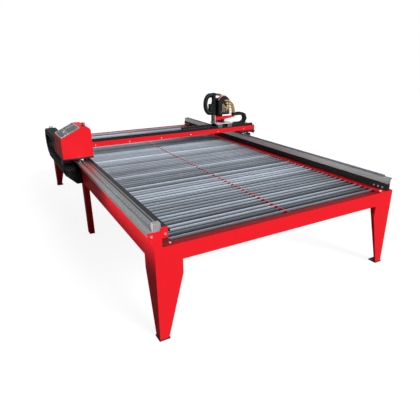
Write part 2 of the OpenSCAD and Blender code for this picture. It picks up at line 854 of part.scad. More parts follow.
module x_chain_tray() {
    tray_x0 = x_bend_x - x_lower_links * x_pitch - 30;
    tray_y0 = x_rack_y + rack_h + 2;
    tray_d = x_chain_y + x_chain_w + 5 - tray_y0;
    lip_h = 20;
    color("dimgray") translate([tray_x0, tray_y0, beam_top]) {
        cube([-beam_start - tray_x0, tray_d, sheet_t]);
        translate([0, tray_d, 0]) cube([-beam_start - tray_x0, sheet_t, lip_h]);
    }
}

module along_beam() {
    translate([x_bend_x, x_chain_y + x_chain_w / 2, x_chain_z]) children();
}

module x_chain_lower() {
    color("black") along_beam() translate([-x_lower_links * x_pitch, 0, 0])
        chain_run(x_lower_links, x_pitch, x_chain_h, x_chain_w);
}

module x_chain_bend() {
    color("black") along_beam() chain_bend(x_bend_n, x_pitch, x_chain_h, x_chain_w, x_bend_r);
}

module x_chain_upper() {
    run_l = x_upper_links * x_pitch;
    end_l = 30;
    color("black") along_beam() translate([-run_l, 0, 2 * x_bend_r]) {
        chain_return(x_upper_links, x_pitch, x_chain_h, x_chain_w);
        translate([-end_l, -x_chain_w / 2 + 3, -x_chain_h / 2])
            cube([end_l + 16, x_chain_w - 6, x_chain_h]);
    }
}

// Carriage
module carriage_plate() {
    color("lightgray") {
        difference() {
            translate([carriage_x0, deck_y0, deck_z]) cube([carriage_w, deck_y1 - deck_y0, deck_t]);
            translate([carriage_x, x_pinion_y, deck_z - 1]) cylinder(r = bracket_hole_r, h = deck_t + 2);
        }
        translate([carriage_x0, lifter_y - 62, lifter_z]) cube([cheek_t, 56, cheek_h]);
    }
}

module x_guide_blocks() {
    low = 12;
    side_w = 12;
    y0 = x_guide_y - 10 - side_w;
    color("slategray") for (x = [carriage_x0 + 12, carriage_x0 + carriage_w - 12 - block_l])
        translate([x, y0, beam_top + low]) difference() {
            cube([block_l, x_guide_w + 2 * side_w, deck_z - beam_top - low]);
            translate([-1, side_w - clear, -1])
                cube([block_l + 2, x_guide_w + 2 * clear, x_guide_h - low + 1 + clear]);
        }
}

module x_motor() {
    color("darkslategray") translate([carriage_x, x_pinion_y, lifter_z]) rotate([0, -90, 0])
        motor_x(x_motor_side, x_motor_l);
}

module x_pinion() {
    pinion_z = beam_top + 1;
    color("dimgray") translate([carriage_x, x_pinion_y, pinion_z]) {
        rotate([0, 0, 90]) pinion_gear(x_pinion_h);
        cylinder(r = shaft_r, h = lifter_z + shaft_seat - pinion_z);
    }
}

// Red bracket in front of the lifter, with the arm that carries the end of the beam's chain
module chain_bracket() {
    arm_x1 = x_bend_x - x_upper_links * x_pitch - 4;
    arm_z = x_chain_z + 2 * x_bend_r - x_chain_h / 2;
    plate_x0 = lifter_x0 - 20;
    front_y = lifter_y - plate_t;
    color("red") {
        translate([0, front_y, 0]) upright_x(plate_t)
            polygon([[plate_x0, lifter_z + 25], [plate_x0 + 60, lifter_z + 25], [plate_x0 + 128, arm_z - 40],
                [arm_x1, arm_z - 14], [arm_x1, arm_z], [arm_x1 - 60, arm_z], [plate_x0, arm_z + 10]]);
        translate([lifter_x0 + lifter_w + 8, front_y, arm_z - plate_t])
            cube([arm_x1 - lifter_x0 - lifter_w - 8, x_chain_y + x_chain_w - 2 - front_y, plate_t]);
    }
}

module lifter_housing() {
    color("black") translate([lifter_x0, lifter_y, lifter_z]) difference() {
        union() {
            cube([lifter_w, lifter_d, lifter_h]);
            translate([0, 2, lifter_h]) cube([gland_w, lifter_d - 12, gland_h]);
            translate([-46, 2, 136]) cube([46, lifter_d - 12, 79]);
        }
        translate([lifter_wall, lifter_wall, lifter_wall])
            cube([lifter_w - 2 * lifter_wall, lifter_d, lifter_h - 2 * lifter_wall]);
        translate([lifter_w / 2, screw_y - lifter_y, -1]) cylinder(r = screw_r + run_clear, h = lifter_wall + 2);
        translate([lifter_w / 2, screw_y - lifter_y, lifter_h - lifter_wall - 1])
            cylinder(r = screw_r + run_clear, h = lifter_wall + 2);
    }
    lifter_cover();
}

// Domed cover in front of the lifter, where its leads are joined
module lifter_cover() {
    low_z = lifter_z + cheek_h + 2;
    color("black") translate([0, lifter_y - cover_d, 0]) upright_x(cover_d) {
        translate([cover_x, cover_z]) circle(r = cover_r);
        translate([cover_x - cover_r, low_z]) square([2 * cover_r, cover_z - low_z]);
    }
}

module z_motor() {
    color("darkslategray") translate([torch_x, screw_y, lifter_z + lifter_h]) difference() {
        union() {
            translate([-z_motor_side / 2, -z_motor_side / 2, 0])
                cube([z_motor_side, z_motor_side, z_motor_l - z_motor_dome]);
            translate([0, 0, z_motor_l - z_motor_dome]) rotate_extrude()
                polygon([[0, 0], [z_motor_side / 2, 0], [z_motor_side / 2 - 2, 6],
                    [z_motor_side / 2 - 8, 10], [0, z_motor_dome]]);
        }
        translate([0, 0, -1]) cylinder(r = screw_r + run_clear, h = 12);
    }
}

module lead_screw() {
    color("silver") translate([torch_x, screw_y, lifter_z + 0.5])
        cylinder(r = screw_r, h = lifter_h + 9);
}

// Sliding part of the lifter: nut block, front plate and the split clamp that holds the torch
module torch_slide() {
    nut_w = lifter_w - 2 * lifter_wall - 2;
    nut_h = 60;
    nut_z = lifter_z + 80;
    plate_z = clamp_z - 10;
    clamp_h = 34;
    clamp_w = 2 * torch_r + 24;
    color("darkgray") difference() {
        union() {
            translate([torch_x - nut_w / 2, screw_y - 14, nut_z])
                cube([nut_w, slide_y - screw_y + 14, nut_h]);
            translate([torch_x - nut_w / 2, slide_y, plate_z]) cube([nut_w, slide_t, nut_z + nut_h - plate_z]);
            translate([torch_x - clamp_w / 2, slide_y + slide_t, clamp_z])
                cube([clamp_w, torch_y - slide_y - slide_t, clamp_h]);
            translate([torch_x, torch_y, clamp_z]) cylinder(r = clamp_w / 2, h = clamp_h);
        }
        translate([torch_x, screw_y, nut_z - 1]) cylinder(r = screw_r + run_clear, h = nut_h + 2);
        translate([torch_x, torch_y, clamp_z - 1]) cylinder(r = torch_r + run_clear, h = clamp_h + 2);
    }
}

module torch_body() {
    color("gold") translate([torch_x, torch_y, torch_z]) rotate_extrude()
        polygon([[0, 0], [torch_r - 3, 0], [torch_r - 3, 24], [torch_r, 30], [torch_r, torch_l - 20],
            [torch_r - 6, torch_l], [0, torch_l]]);
}

module torch_nozzle() {
    color("peru") translate([torch_x, torch_y, torch_tip_z]) rotate_extrude()
        polygon([[1, 0], [5, 0], [8, 8], [torch_r - 4, 14], [torch_r - 3, nozzle_l], [1, nozzle_l]]);
}

// Hoses lie in a plane across the table: a path of [x, z] points swept with rings of 8 sides
function unit(v) = v / norm(v);
function path_side(path, k) =
    let (n = len(path) - 1, t = unit(path[min(k + 1, n)] - path[max(k - 1, 0)])) [-t[1], t[0]];
function ring(path, k, r, y) =
    [for (a = [0:45:315]) let (s = path_side(path, k))
        [path[k][0] + r * cos(a) * s[0], y + r * sin(a), path[k][1] + r * cos(a) * s[1]]];
function ring_faces(count, closed) =
    [for (k = [0:count - (closed ? 1 : 2)], c = [0:7], half = [0, 1])
        let (a = k * 8 + c, b = k * 8 + (c + 1) % 8, j = (k + 1) % count, d = j * 8 + c, e = j * 8 + (c + 1) % 8)
        half == 0 ? [a, d, b] : [b, d, e]];
function cap_faces(count) =
    concat([for (c = [1:6]) [0, c, c + 1]],
        [for (c = [1:6]) let (s = (count - 1) * 8) [s, s + c + 1, s + c]]);

// Half an ellipse between two straight ends
conduit_x = lifter_x0 - 40;
conduit_low_z = lifter_z + 112;
conduit_high_z = lifter_z + lifter_h + 84;
conduit_bulge = 60;
conduit_mid_z = (conduit_low_z + conduit_high_z) / 2;
conduit_rise = (conduit_high_z - conduit_low_z) / 2;
conduit_end_x = lifter_x0;
conduit_arc = PI * sqrt((conduit_bulge * conduit_bulge + conduit_rise * conduit_rise) / 2);
arc_ribs = floor(conduit_arc / conduit_rib);
low_ribs = floor((lifter_x0 - conduit_x) / conduit_rib);
high_ribs = floor((conduit_end_x - conduit_x) / conduit_rib);
conduit_path = concat(
    [for (k = [0:0.5:low_ribs - 0.5]) [lifter_x0 - k * (lifter_x0 - conduit_x) / low_ribs, conduit_low_z]],
    [for (k = [0:0.5:arc_ribs]) let (a = -90 - 180 * k / arc_ribs)
        [conduit_x + conduit_bulge * cos(a), conduit_mid_z + conduit_rise * sin(a)]],
    [for (k = [0.5:0.5:high_ribs]) [conduit_x + k * (conduit_end_x - conduit_x) / high_ribs, conduit_high_z]]);

module torch_conduit() {
    rib_depth = 3;
    bore_r = conduit_r - 6;
    last = len(conduit_path) - 1;
    outer = [for (k = [0:last]) ring(conduit_path, k, conduit_r - (k % 2 == 0 ? rib_depth : 0), gland_y)];
    bore_ks = [for (k = [last:-2:0]) k];
    inner = [for (k = bore_ks) ring(conduit_path, k, bore_r, gland_y)];
    rings = concat(outer, inner);
    color("black") polyhedron([for (r = rings, p = r) p], ring_faces(len(rings), true));
}

module torch_leads() {
    lead_x = x_bend_x - x_upper_links * x_pitch - 8;
    lead_z = x_chain_z + 2 * x_bend_r + x_chain_h / 2;
    wall_x = lifter_x0 + gland_w;
    top_z = lifter_z + lifter_h + gland_h - 12;
    pitch = 2 * lead_r + 1;
    steps = 14;
    color("khaki") for (row = [0, 1], side = [0, 1])
        let (a = lead_x - row * pitch - wall_x, b = top_z - row * pitch - lead_z - 14,
            path = concat([[wall_x + a, lead_z]],
                [for (i = [0:steps]) [wall_x + a * cos(90 * i / steps), lead_z + 14 + b * sin(90 * i / steps)]]),
            y = gland_y - pitch / 2 + side * pitch,
            rings = [for (i = [0:len(path) - 1]) ring(path, i, lead_r, y)])
        polyhedron([for (r = rings, p = r) p], concat(ring_faces(len(rings), false), cap_faces(len(rings))));
}

leg_front_left();
leg_front_right();
leg_rear_left();
leg_rear_right();
middle_legs();
foot_plates();
front_apron();
rear_apron();
left_side_beam();
right_side_beam();
cross_members();
left_comb();
right_comb();
centre_support();
slats();
left_rail();
right_rail();
guide_rails();
racks();
rail_strips();
rail_end_plates();
frame_bolts();
stop_blocks();
chain_tray();
y_chain_lower();
y_chain_bend();
y_chain_upper();
gantry_beam();
beam_bolts();
beam_end_caps();
left_truck();
right_truck();
y_guide_blocks();
y_motors();
left_pinion();
right_pinion();
control_box();
control_panel();
display_screen();
estop_base();
estop_head();
x_guide_rail();
x_rack();
x_chain_tray();
x_chain_lower();
x_chain_bend();
x_chain_upper();
carriage_plate();
x_guide_blocks();
x_motor();
x_pinion();
chain_bracket();
lifter_housing();
z_motor();
lead_screw();
torch_slide();
torch_body();
torch_nozzle();
torch_conduit();
torch_leads();
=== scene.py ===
"""Looks of a plasma cutting table.

Finishes, drag chains, hoses, fasteners, panel and studio are added to the CAD frame, which stays as it is.
Lengths are in metres.
"""

import json
import logging
import math
from dataclasses import dataclass
from enum import Enum

import bpy
import numpy as np
from mathutils import Matrix, Vector
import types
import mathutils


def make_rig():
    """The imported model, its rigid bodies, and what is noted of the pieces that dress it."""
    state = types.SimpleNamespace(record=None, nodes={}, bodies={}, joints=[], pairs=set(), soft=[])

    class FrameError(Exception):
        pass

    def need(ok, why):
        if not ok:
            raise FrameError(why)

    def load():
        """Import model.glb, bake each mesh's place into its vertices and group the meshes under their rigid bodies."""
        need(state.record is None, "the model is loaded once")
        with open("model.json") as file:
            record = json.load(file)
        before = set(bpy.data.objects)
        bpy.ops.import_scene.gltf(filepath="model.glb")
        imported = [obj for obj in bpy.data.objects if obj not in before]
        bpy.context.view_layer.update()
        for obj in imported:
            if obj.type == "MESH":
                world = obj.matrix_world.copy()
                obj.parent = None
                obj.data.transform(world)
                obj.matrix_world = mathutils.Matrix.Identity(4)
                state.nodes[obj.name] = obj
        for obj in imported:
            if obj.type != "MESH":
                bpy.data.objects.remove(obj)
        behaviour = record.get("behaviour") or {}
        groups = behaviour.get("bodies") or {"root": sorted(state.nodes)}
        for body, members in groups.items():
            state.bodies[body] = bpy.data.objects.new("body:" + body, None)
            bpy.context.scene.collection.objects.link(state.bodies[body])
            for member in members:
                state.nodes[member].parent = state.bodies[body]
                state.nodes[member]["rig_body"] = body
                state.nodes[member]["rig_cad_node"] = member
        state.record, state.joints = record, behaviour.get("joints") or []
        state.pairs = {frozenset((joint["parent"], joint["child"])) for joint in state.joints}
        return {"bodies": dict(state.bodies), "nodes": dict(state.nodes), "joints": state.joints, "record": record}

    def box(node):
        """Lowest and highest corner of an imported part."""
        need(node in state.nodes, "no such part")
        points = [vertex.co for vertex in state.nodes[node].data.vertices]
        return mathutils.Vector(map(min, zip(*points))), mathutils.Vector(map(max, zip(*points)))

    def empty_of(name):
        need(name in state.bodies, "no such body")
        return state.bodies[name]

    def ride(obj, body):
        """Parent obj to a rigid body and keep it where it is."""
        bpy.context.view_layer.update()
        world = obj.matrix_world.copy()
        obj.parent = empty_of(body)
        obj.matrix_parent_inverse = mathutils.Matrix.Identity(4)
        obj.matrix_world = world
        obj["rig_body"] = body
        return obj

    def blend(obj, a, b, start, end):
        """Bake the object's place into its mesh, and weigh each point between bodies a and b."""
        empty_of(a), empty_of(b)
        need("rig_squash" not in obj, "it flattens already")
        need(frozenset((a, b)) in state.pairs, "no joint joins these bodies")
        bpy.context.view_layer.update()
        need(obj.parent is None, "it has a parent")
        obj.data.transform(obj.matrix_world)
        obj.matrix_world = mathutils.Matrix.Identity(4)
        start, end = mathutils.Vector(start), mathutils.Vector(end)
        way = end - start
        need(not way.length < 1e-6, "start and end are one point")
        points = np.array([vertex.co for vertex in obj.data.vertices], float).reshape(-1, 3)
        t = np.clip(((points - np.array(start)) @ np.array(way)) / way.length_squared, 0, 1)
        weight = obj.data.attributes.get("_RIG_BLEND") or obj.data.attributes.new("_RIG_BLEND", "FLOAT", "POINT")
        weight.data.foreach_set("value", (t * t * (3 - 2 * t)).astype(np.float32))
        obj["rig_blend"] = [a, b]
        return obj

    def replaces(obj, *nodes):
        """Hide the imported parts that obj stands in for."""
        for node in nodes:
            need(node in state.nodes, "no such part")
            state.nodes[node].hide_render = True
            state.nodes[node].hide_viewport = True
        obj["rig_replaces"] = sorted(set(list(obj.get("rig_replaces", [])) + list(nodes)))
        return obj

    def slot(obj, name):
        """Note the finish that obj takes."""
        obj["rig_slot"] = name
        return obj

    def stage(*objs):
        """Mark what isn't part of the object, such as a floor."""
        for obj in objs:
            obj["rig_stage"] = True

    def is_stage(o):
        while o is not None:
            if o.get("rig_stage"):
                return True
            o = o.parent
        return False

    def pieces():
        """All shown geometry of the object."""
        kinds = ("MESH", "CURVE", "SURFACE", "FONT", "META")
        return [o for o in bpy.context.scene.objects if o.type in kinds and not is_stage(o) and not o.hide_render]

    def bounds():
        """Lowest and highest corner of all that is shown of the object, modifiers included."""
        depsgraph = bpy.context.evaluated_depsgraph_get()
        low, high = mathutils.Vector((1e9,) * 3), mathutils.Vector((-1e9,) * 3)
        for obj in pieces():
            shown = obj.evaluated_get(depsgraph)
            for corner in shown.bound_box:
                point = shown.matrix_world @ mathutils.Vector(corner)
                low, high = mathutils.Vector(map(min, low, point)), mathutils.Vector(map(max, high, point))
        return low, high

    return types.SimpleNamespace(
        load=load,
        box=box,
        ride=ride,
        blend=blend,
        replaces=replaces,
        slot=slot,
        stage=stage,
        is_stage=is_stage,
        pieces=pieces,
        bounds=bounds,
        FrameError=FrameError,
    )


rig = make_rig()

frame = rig.load()
FIRST_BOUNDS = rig.bounds()
LOG = logging.getLogger("plasma_table")
SIZE_FILE = "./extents.json"
Number = float | int
Pair = tuple[float, float]
Triple = tuple[float, float, float]
UNIT: Triple = (1.0, 1.0, 1.0)
WHITE = (1.0, 1.0, 1.0, 1.0)
# Places of the colour sockets on Blender's Mix node
MIX_FIRST, MIX_SECOND, MIX_RESULT = 6, 7, 2
BUMP_STRENGTH = 0.6
SMOOTH_ANGLE = math.radians(38)


class Axis(Enum):
    """The frame's axes: X across the table, Y along it to the back, Z up."""

    X = 0
    Y = 1
    Z = 2


class Socket:
    """One output of a shader graph, with arithmetic that adds Math nodes."""

    def __init__(self, graph: "Graph", socket: bpy.types.NodeSocket) -> None:
        """Keep the graph and one socket of it."""
        self.graph = graph
        self.socket = socket

    def maths(self, operation: str, *operands: "Socket | Number") -> "Socket":
        """Return the value of a new Math node, by Blender's name of its operation."""
        return self.graph.node("ShaderNodeMath", {"operation": operation}, dict(enumerate(operands)))

    def __add__(self, other: "Socket | Number") -> "Socket":
        """Return self plus other."""
        return self.maths("ADD", self, other)

    __radd__ = __add__

    def __sub__(self, other: "Socket | Number") -> "Socket":
        """Return self minus other."""
        return self.maths("SUBTRACT", self, other)

    def __rsub__(self, other: Number) -> "Socket":
        """Return other minus self."""
        return self.maths("SUBTRACT", other, self)

    def __mul__(self, other: "Socket | Number") -> "Socket":
        """Return self times other."""
        return self.maths("MULTIPLY", self, other)

    __rmul__ = __mul__

    def __truediv__(self, other: "Socket | Number") -> "Socket":
        """Return self divided by other."""
        return self.maths("DIVIDE", self, other)

    def __abs__(self) -> "Socket":
        """Return self without its sign."""
        return self.maths("ABSOLUTE", self)

    def __round__(self) -> "Socket":
        """Return the whole number nearest to self."""
        return self.maths("ROUND", self)


class Graph:
    """Node graph of a material or a world."""

    def __init__(self, owner: bpy.types.Material | bpy.types.World) -> None:
        """Empty the owner's graph.

        Args:
            owner: a new material or world.
        """
        self.owner = owner
        owner.use_nodes = True
        self.tree = owner.node_tree
        self.tree.nodes.clear()

    def node(self, kind: str, settings: dict | None = None, inputs: dict | None = None,
             output: int | str = 0) -> Socket:
        """Add one node of any type.

        Args:
            kind: Blender's node type.
            settings: attributes of the node.
            inputs: socket name or index to a constant or a Socket.
            output: name or index of the output that is returned.

        Returns:
            The chosen output, or the first input of a node that has no outputs.
        """
        made = self.tree.nodes.new(kind)
        for key, value in (settings or {}).items():
            setattr(made, key, value)
        for key, value in (inputs or {}).items():
            if isinstance(value, Socket):
                self.tree.links.new(value.socket, made.inputs[key])
            else:
                made.inputs[key].default_value = value
        outputs = made.outputs
        return Socket(self, outputs[output]) if len(outputs) else Socket(self, made.inputs[0])

    def place(self, stretch: Triple = UNIT) -> Socket:
        """Return object coordinates, stretched along each axis."""
        coords = self.node("ShaderNodeTexCoord", output="Object")
        return self.node("ShaderNodeMapping", {}, {"Vector": coords, "Scale": stretch})

    def coordinate(self, axis: Axis) -> Socket:
        """Return one object coordinate."""
        return self.node("ShaderNodeSeparateXYZ", {}, {0: self.place()}, output=axis.name)

    def noise(self, scale: float, detail: float = 3.0, stretch: Triple = UNIT) -> Socket:
        """Return smooth noise from 0 to 1, with a scale in cells per metre and a number of octaves."""
        inputs = {"Vector": self.place(stretch), "Scale": scale, "Detail": detail}
        return self.node("ShaderNodeTexNoise", {}, inputs)

    def step(self, value: Socket, start: float, end: float) -> Socket:
        """Return a share that goes from 0 at the value start to 1 at the value end."""
        return self.node("ShaderNodeMapRange", {}, {"Value": value, "From Min": start, "From Max": end})

    def ramp(self, value: Socket, low: Triple | Socket, high: Triple, start: float = 0.0,
             end: float = 1.0) -> Socket:
        """Mix two colours by a value.

        Args:
            value: driving value.
            low: colour at start, constant or made by the graph.
            high: colour at end.
            start: value where the change starts.
            end: value where the change ends.

        Returns:
            The colour.
        """
        first = low if isinstance(low, Socket) else (*low, 1.0)
        inputs = {0: self.step(value, start, end), MIX_FIRST: first, MIX_SECOND: (*high, 1.0)}
        return self.node("ShaderNodeMix", {"data_type": "RGBA"}, inputs, output=MIX_RESULT)

    def bump(self, height: Socket, distance: float, edge: float) -> Socket:
        """Lay a small relief over normals that are rounded at sharp edges.

        Args:
            height: relief from 0 to 1.
            distance: height of the relief.
            edge: radius of the rounded edges.

        Returns:
            The normal.
        """
        rounded = self.node("ShaderNodeBevel", {"samples": 4}, {"Radius": edge})
        inputs = {"Height": height, "Distance": distance, "Strength": BUMP_STRENGTH, "Normal": rounded}
        return self.node("ShaderNodeBump", {}, inputs)

    def finish(self, **inputs: Socket | Number) -> bpy.types.Material:
        """Close a material's graph with one Principled surface.

        Args:
            **inputs: socket names with underscores for spaces.

        Returns:
            The material.
        """
        named = {key.replace("_", " "): value for key, value in inputs.items()}
        surface = self.node("ShaderNodeBsdfPrincipled", {}, named)
        self.node("ShaderNodeOutputMaterial", {}, {"Surface": surface})
        return self.owner


def shaded(colour: Triple, tone: float) -> Triple:
    """Return a colour times a tone."""
    return tuple(tone * part for part in colour)


@dataclass(frozen=True)
class DarkZone:
    """Zone that is darkened: between two heights, and between two places across the table."""

    floor: float
    ceiling: float
    left: float
    right: float
    tone: float
    upright_border: float = 0.001
    side_border: float = 0.004

    def amount(self, graph: Graph) -> Socket:
        """Find what lies in the zone.

        Args:
            graph: the material's graph.

        Returns:
            1 inside the zone and 0 outside it, with narrow borders.
        """
        height = graph.coordinate(Axis.Z)
        across = graph.coordinate(Axis.X)
        inside = graph.step(height, self.floor, self.floor + self.upright_border)
        inside = inside * graph.step(height, self.ceiling, self.ceiling - self.upright_border)
        inside = inside * graph.step(across, self.right, self.right - self.side_border)
        return inside * graph.step(across, self.left, self.left + self.side_border)


# Painted shade on the top flanges of the aprons, both combs and the bar under the middle of the slats; grey pieces are
# darker at rail height
FLANGE_SHADE = DarkZone(0.6505, 0.660, -0.979, 0.905, 0.30)
LEFT_COMB_SHADE = DarkZone(0.575, 0.700, -2.0, -0.80, 0.25)
RIGHT_COMB_SHADE = DarkZone(0.575, 0.700, 0.80, 0.905, 0.25)
CENTRE_SHADE = DarkZone(0.575, 0.700, -0.05, 0.05, 0.55)
RAIL_HEIGHT_DARKENING = DarkZone(0.70, 0.88, -3.0, 3.0, 0.50)


@dataclass(frozen=True)
class Paint:
    """Semi-gloss paint with a faint orange peel, uneven gloss and darkened zones: painted shade on flanges, combs and
    centre bar, darker grey at rail height.
    """

    name: str
    colour: Triple
    roughness: float = 0.32
    coat: float = 0.25
    edge: float = 0.0018
    shine: float = 0.5
    dark_zones: tuple[DarkZone, ...] = ()

    def build(self) -> bpy.types.Material:
        """Make the material: noise shifts its tone and gloss, finer noise lifts its skin.

        Returns:
            The material.
        """
        graph = Graph(bpy.data.materials.new(self.name))
        broad = graph.noise(scale=3.0)
        gloss = graph.noise(scale=14.0, detail=5.0)
        peel = graph.noise(scale=420.0, detail=2.0)
        colour = self.colour
        if not self.dark_zones:
            colour = graph.ramp(broad, shaded(self.colour, 0.86), self.colour, 0.35, 0.65)
        # Each zone darkens the colour: painted shade on flanges, combs and the centre bar; grey pieces darker at rail
        # height.
        for zone in self.dark_zones:
            uneven = zone.amount(graph) + 0.12 * (broad - 0.5)
            colour = graph.ramp(uneven, colour, shaded(self.colour, zone.tone), 0.2, 0.8)
        return graph.finish(
            Base_Color=colour,
            Specular_IOR_Level=self.shine,
            Roughness=self.roughness + 0.10 * (gloss - 0.5),
            Coat_Weight=self.coat,
            Coat_Roughness=0.12,
            Normal=graph.bump(peel, 0.00012, self.edge),
        )


@dataclass(frozen=True)
class PaintedShade:
    """Painted shade along one axis: full at one place and gone at another."""

    axis: Axis
    tone: float
    full: float
    gone: float


@dataclass(frozen=True)
class Metal:
    """Bare metal with drawn lines along one axis, and painted shade where it is given."""

    name: str
    colour: Triple
    roughness: float = 0.36
    grain: Axis = Axis.Y
    metallic: float = 1.0
    edge: float = 0.0008
    painted_shade: PaintedShade | None = None

    def build(self) -> bpy.types.Material:
        """Make the material: noise that is drawn out along the grain shades colour and gloss.

        Returns:
            The material.
        """
        graph = Graph(bpy.data.materials.new(self.name))
        stretch = [60.0, 60.0, 60.0]
        stretch[self.grain.value] = 1.5
        lines = graph.noise(scale=9.0, detail=4.0, stretch=tuple(stretch))
        colour = graph.ramp(lines, shaded(self.colour, 0.78), self.colour, 0.3, 0.7)
        # Painted shade: darker towards one end along the given axis.
        if self.painted_shade is not None:
            along = graph.coordinate(self.painted_shade.axis)
            dark = shaded(self.colour, self.painted_shade.tone)
            colour = graph.ramp(along, colour, dark, self.painted_shade.gone, self.painted_shade.full)
        return graph.finish(
            Base_Color=colour,
            Metallic=self.metallic,
            Roughness=self.roughness + 0.16 * (lines - 0.5),
            Normal=graph.bump(lines, 0.00006, self.edge),
        )


@dataclass(frozen=True)
class Galvanised:
    """Zinc-coated slats: spangle cells, a tone for each slat, painted shade below, painted rail reflection at the
    right.
    """

    name: str
    colour: Triple
    pitch: float
    first: float
    # Heights where the slat faces go from painted shade below to their lit top edges.
    shaded_below: float = 0.636
    lit_above: float = 0.653
    # Across the table, where a painted reflection of the right rail darkens the slats' right ends.
    rail_reflection_from: float = 0.50
    rail_reflection_to: float = 0.90
    brightest: float = -0.6

    def tone(self, graph: Graph, along: Socket) -> Socket:
        """Find a tone that differs from slat to slat and in broad bands.

        Args:
            graph: the material's graph.
            along: place along the table, which gives the slat's number.

        Returns:
            The tone.
        """
        number = round((along - self.first) / self.pitch)
        settings = {"noise_dimensions": "1D"}
        single = graph.node("ShaderNodeTexWhiteNoise", settings, {"W": number}, output="Value")
        bands = graph.noise(scale=1.0, detail=2.0, stretch=(0.25, 3.2, 1.0))
        return 0.75 * single + 1.30 * bands - 0.55

    def build(self) -> bpy.types.Material:
        """Make the material: the slat's tone, cells and clouds, painted shade below, painted rail reflection to the
        right, dimmed far away.

        Returns:
            The material.
        """
        graph = Graph(bpy.data.materials.new(self.name))
        along = graph.coordinate(Axis.Y)
        tone = self.tone(graph, along)
        # Painted shade: the slat faces darken below their lit top edges.
        upper = graph.step(graph.coordinate(Axis.Z), self.shaded_below, self.lit_above)
        # Painted reflection: the right rail darkens the slats towards their right ends.
        rail_reflection = graph.step(graph.coordinate(Axis.X), self.rail_reflection_from, self.rail_reflection_to)
        inputs = {"Vector": graph.place(), "Scale": 70.0}
        cells = graph.node("ShaderNodeTexVoronoi", {}, inputs, output="Distance")
        cloud = graph.noise(scale=5.0, detail=4.0)
        away = abs(along - self.brightest)
        blend = (0.12 + 0.88 * upper) * (0.26 + 0.80 * tone + 0.12 * cells + 0.12 * cloud)
        blend = blend * (1.06 - 0.13 * away) * (1.0 - 0.42 * rail_reflection)
        return graph.finish(
            Base_Color=graph.ramp(blend, shaded(self.colour, 0.10), self.colour, 0.0, 0.85),
            Metallic=0.80,
            Roughness=0.34 + 0.22 * tone,
            Normal=graph.bump(cells, 0.0001, 0.0004),
        )


@dataclass(frozen=True)
class Plastic:
    """Moulded plastic or rubber with a fine grain; left of a place it may wear a black sleeve."""

    name: str
    colour: Triple
    roughness: float = 0.5
    grain: float = 900.0
    edge: float = 0.0008
    shine: float = 0.5
    sleeve: float | None = None
    sleeve_colour: Triple = (0.011, 0.011, 0.012)
    sleeve_border: float = 0.002

    def build(self) -> bpy.types.Material:
        """Make the material: fine noise lifts the skin, broad noise shifts the tone.

        Returns:
            The material.
        """
        graph = Graph(bpy.data.materials.new(self.name))
        skin = graph.noise(scale=self.grain, detail=2.0)
        light = tuple(min(1.0, 1.25 * part + 0.004) for part in self.colour)
        colour = graph.ramp(graph.noise(scale=30.0), self.colour, light, 0.4, 0.7)
        if self.sleeve is not None:
            across = graph.coordinate(Axis.X)
            border = self.sleeve + self.sleeve_border
            colour = graph.ramp(across, colour, self.sleeve_colour, border, self.sleeve)
        return graph.finish(
            Base_Color=colour,
            Roughness=self.roughness + 0.12 * (skin - 0.5),
            Specular_IOR_Level=self.shine,
            Normal=graph.bump(skin, 0.00008, self.edge),
        )


@dataclass(frozen=True)
class Screen:
    """Dark glass over a faint grid of lit lines."""

    name: str
    steps: tuple[tuple[Axis, float], ...] = ((Axis.X, 0.018), (Axis.Y, 0.021))
    half_line: float = 0.0006

    def build(self) -> bpy.types.Material:
        """Make the material: a line is lit where the place is close to a whole number of steps.

        Returns:
            The material.
        """
        graph = Graph(bpy.data.materials.new(self.name))
        lines = []
        for axis, step in self.steps:
            place = graph.coordinate(axis)
            rest = place.maths("PINGPONG", place, step / 2)
            lines.append(rest.maths("LESS_THAN", rest, self.half_line))
        return graph.finish(
            Base_Color=graph.ramp(graph.noise(scale=12.0), (0.012, 0.014, 0.018), (0.02, 0.025, 0.03)),
            Roughness=0.08 + 0.06 * graph.noise(scale=40.0),
            Emission_Color=graph.ramp(lines[0] + lines[1], (0.0, 0.0, 0.0), (0.05, 0.11, 0.13)),
            Emission_Strength=0.6,
        )


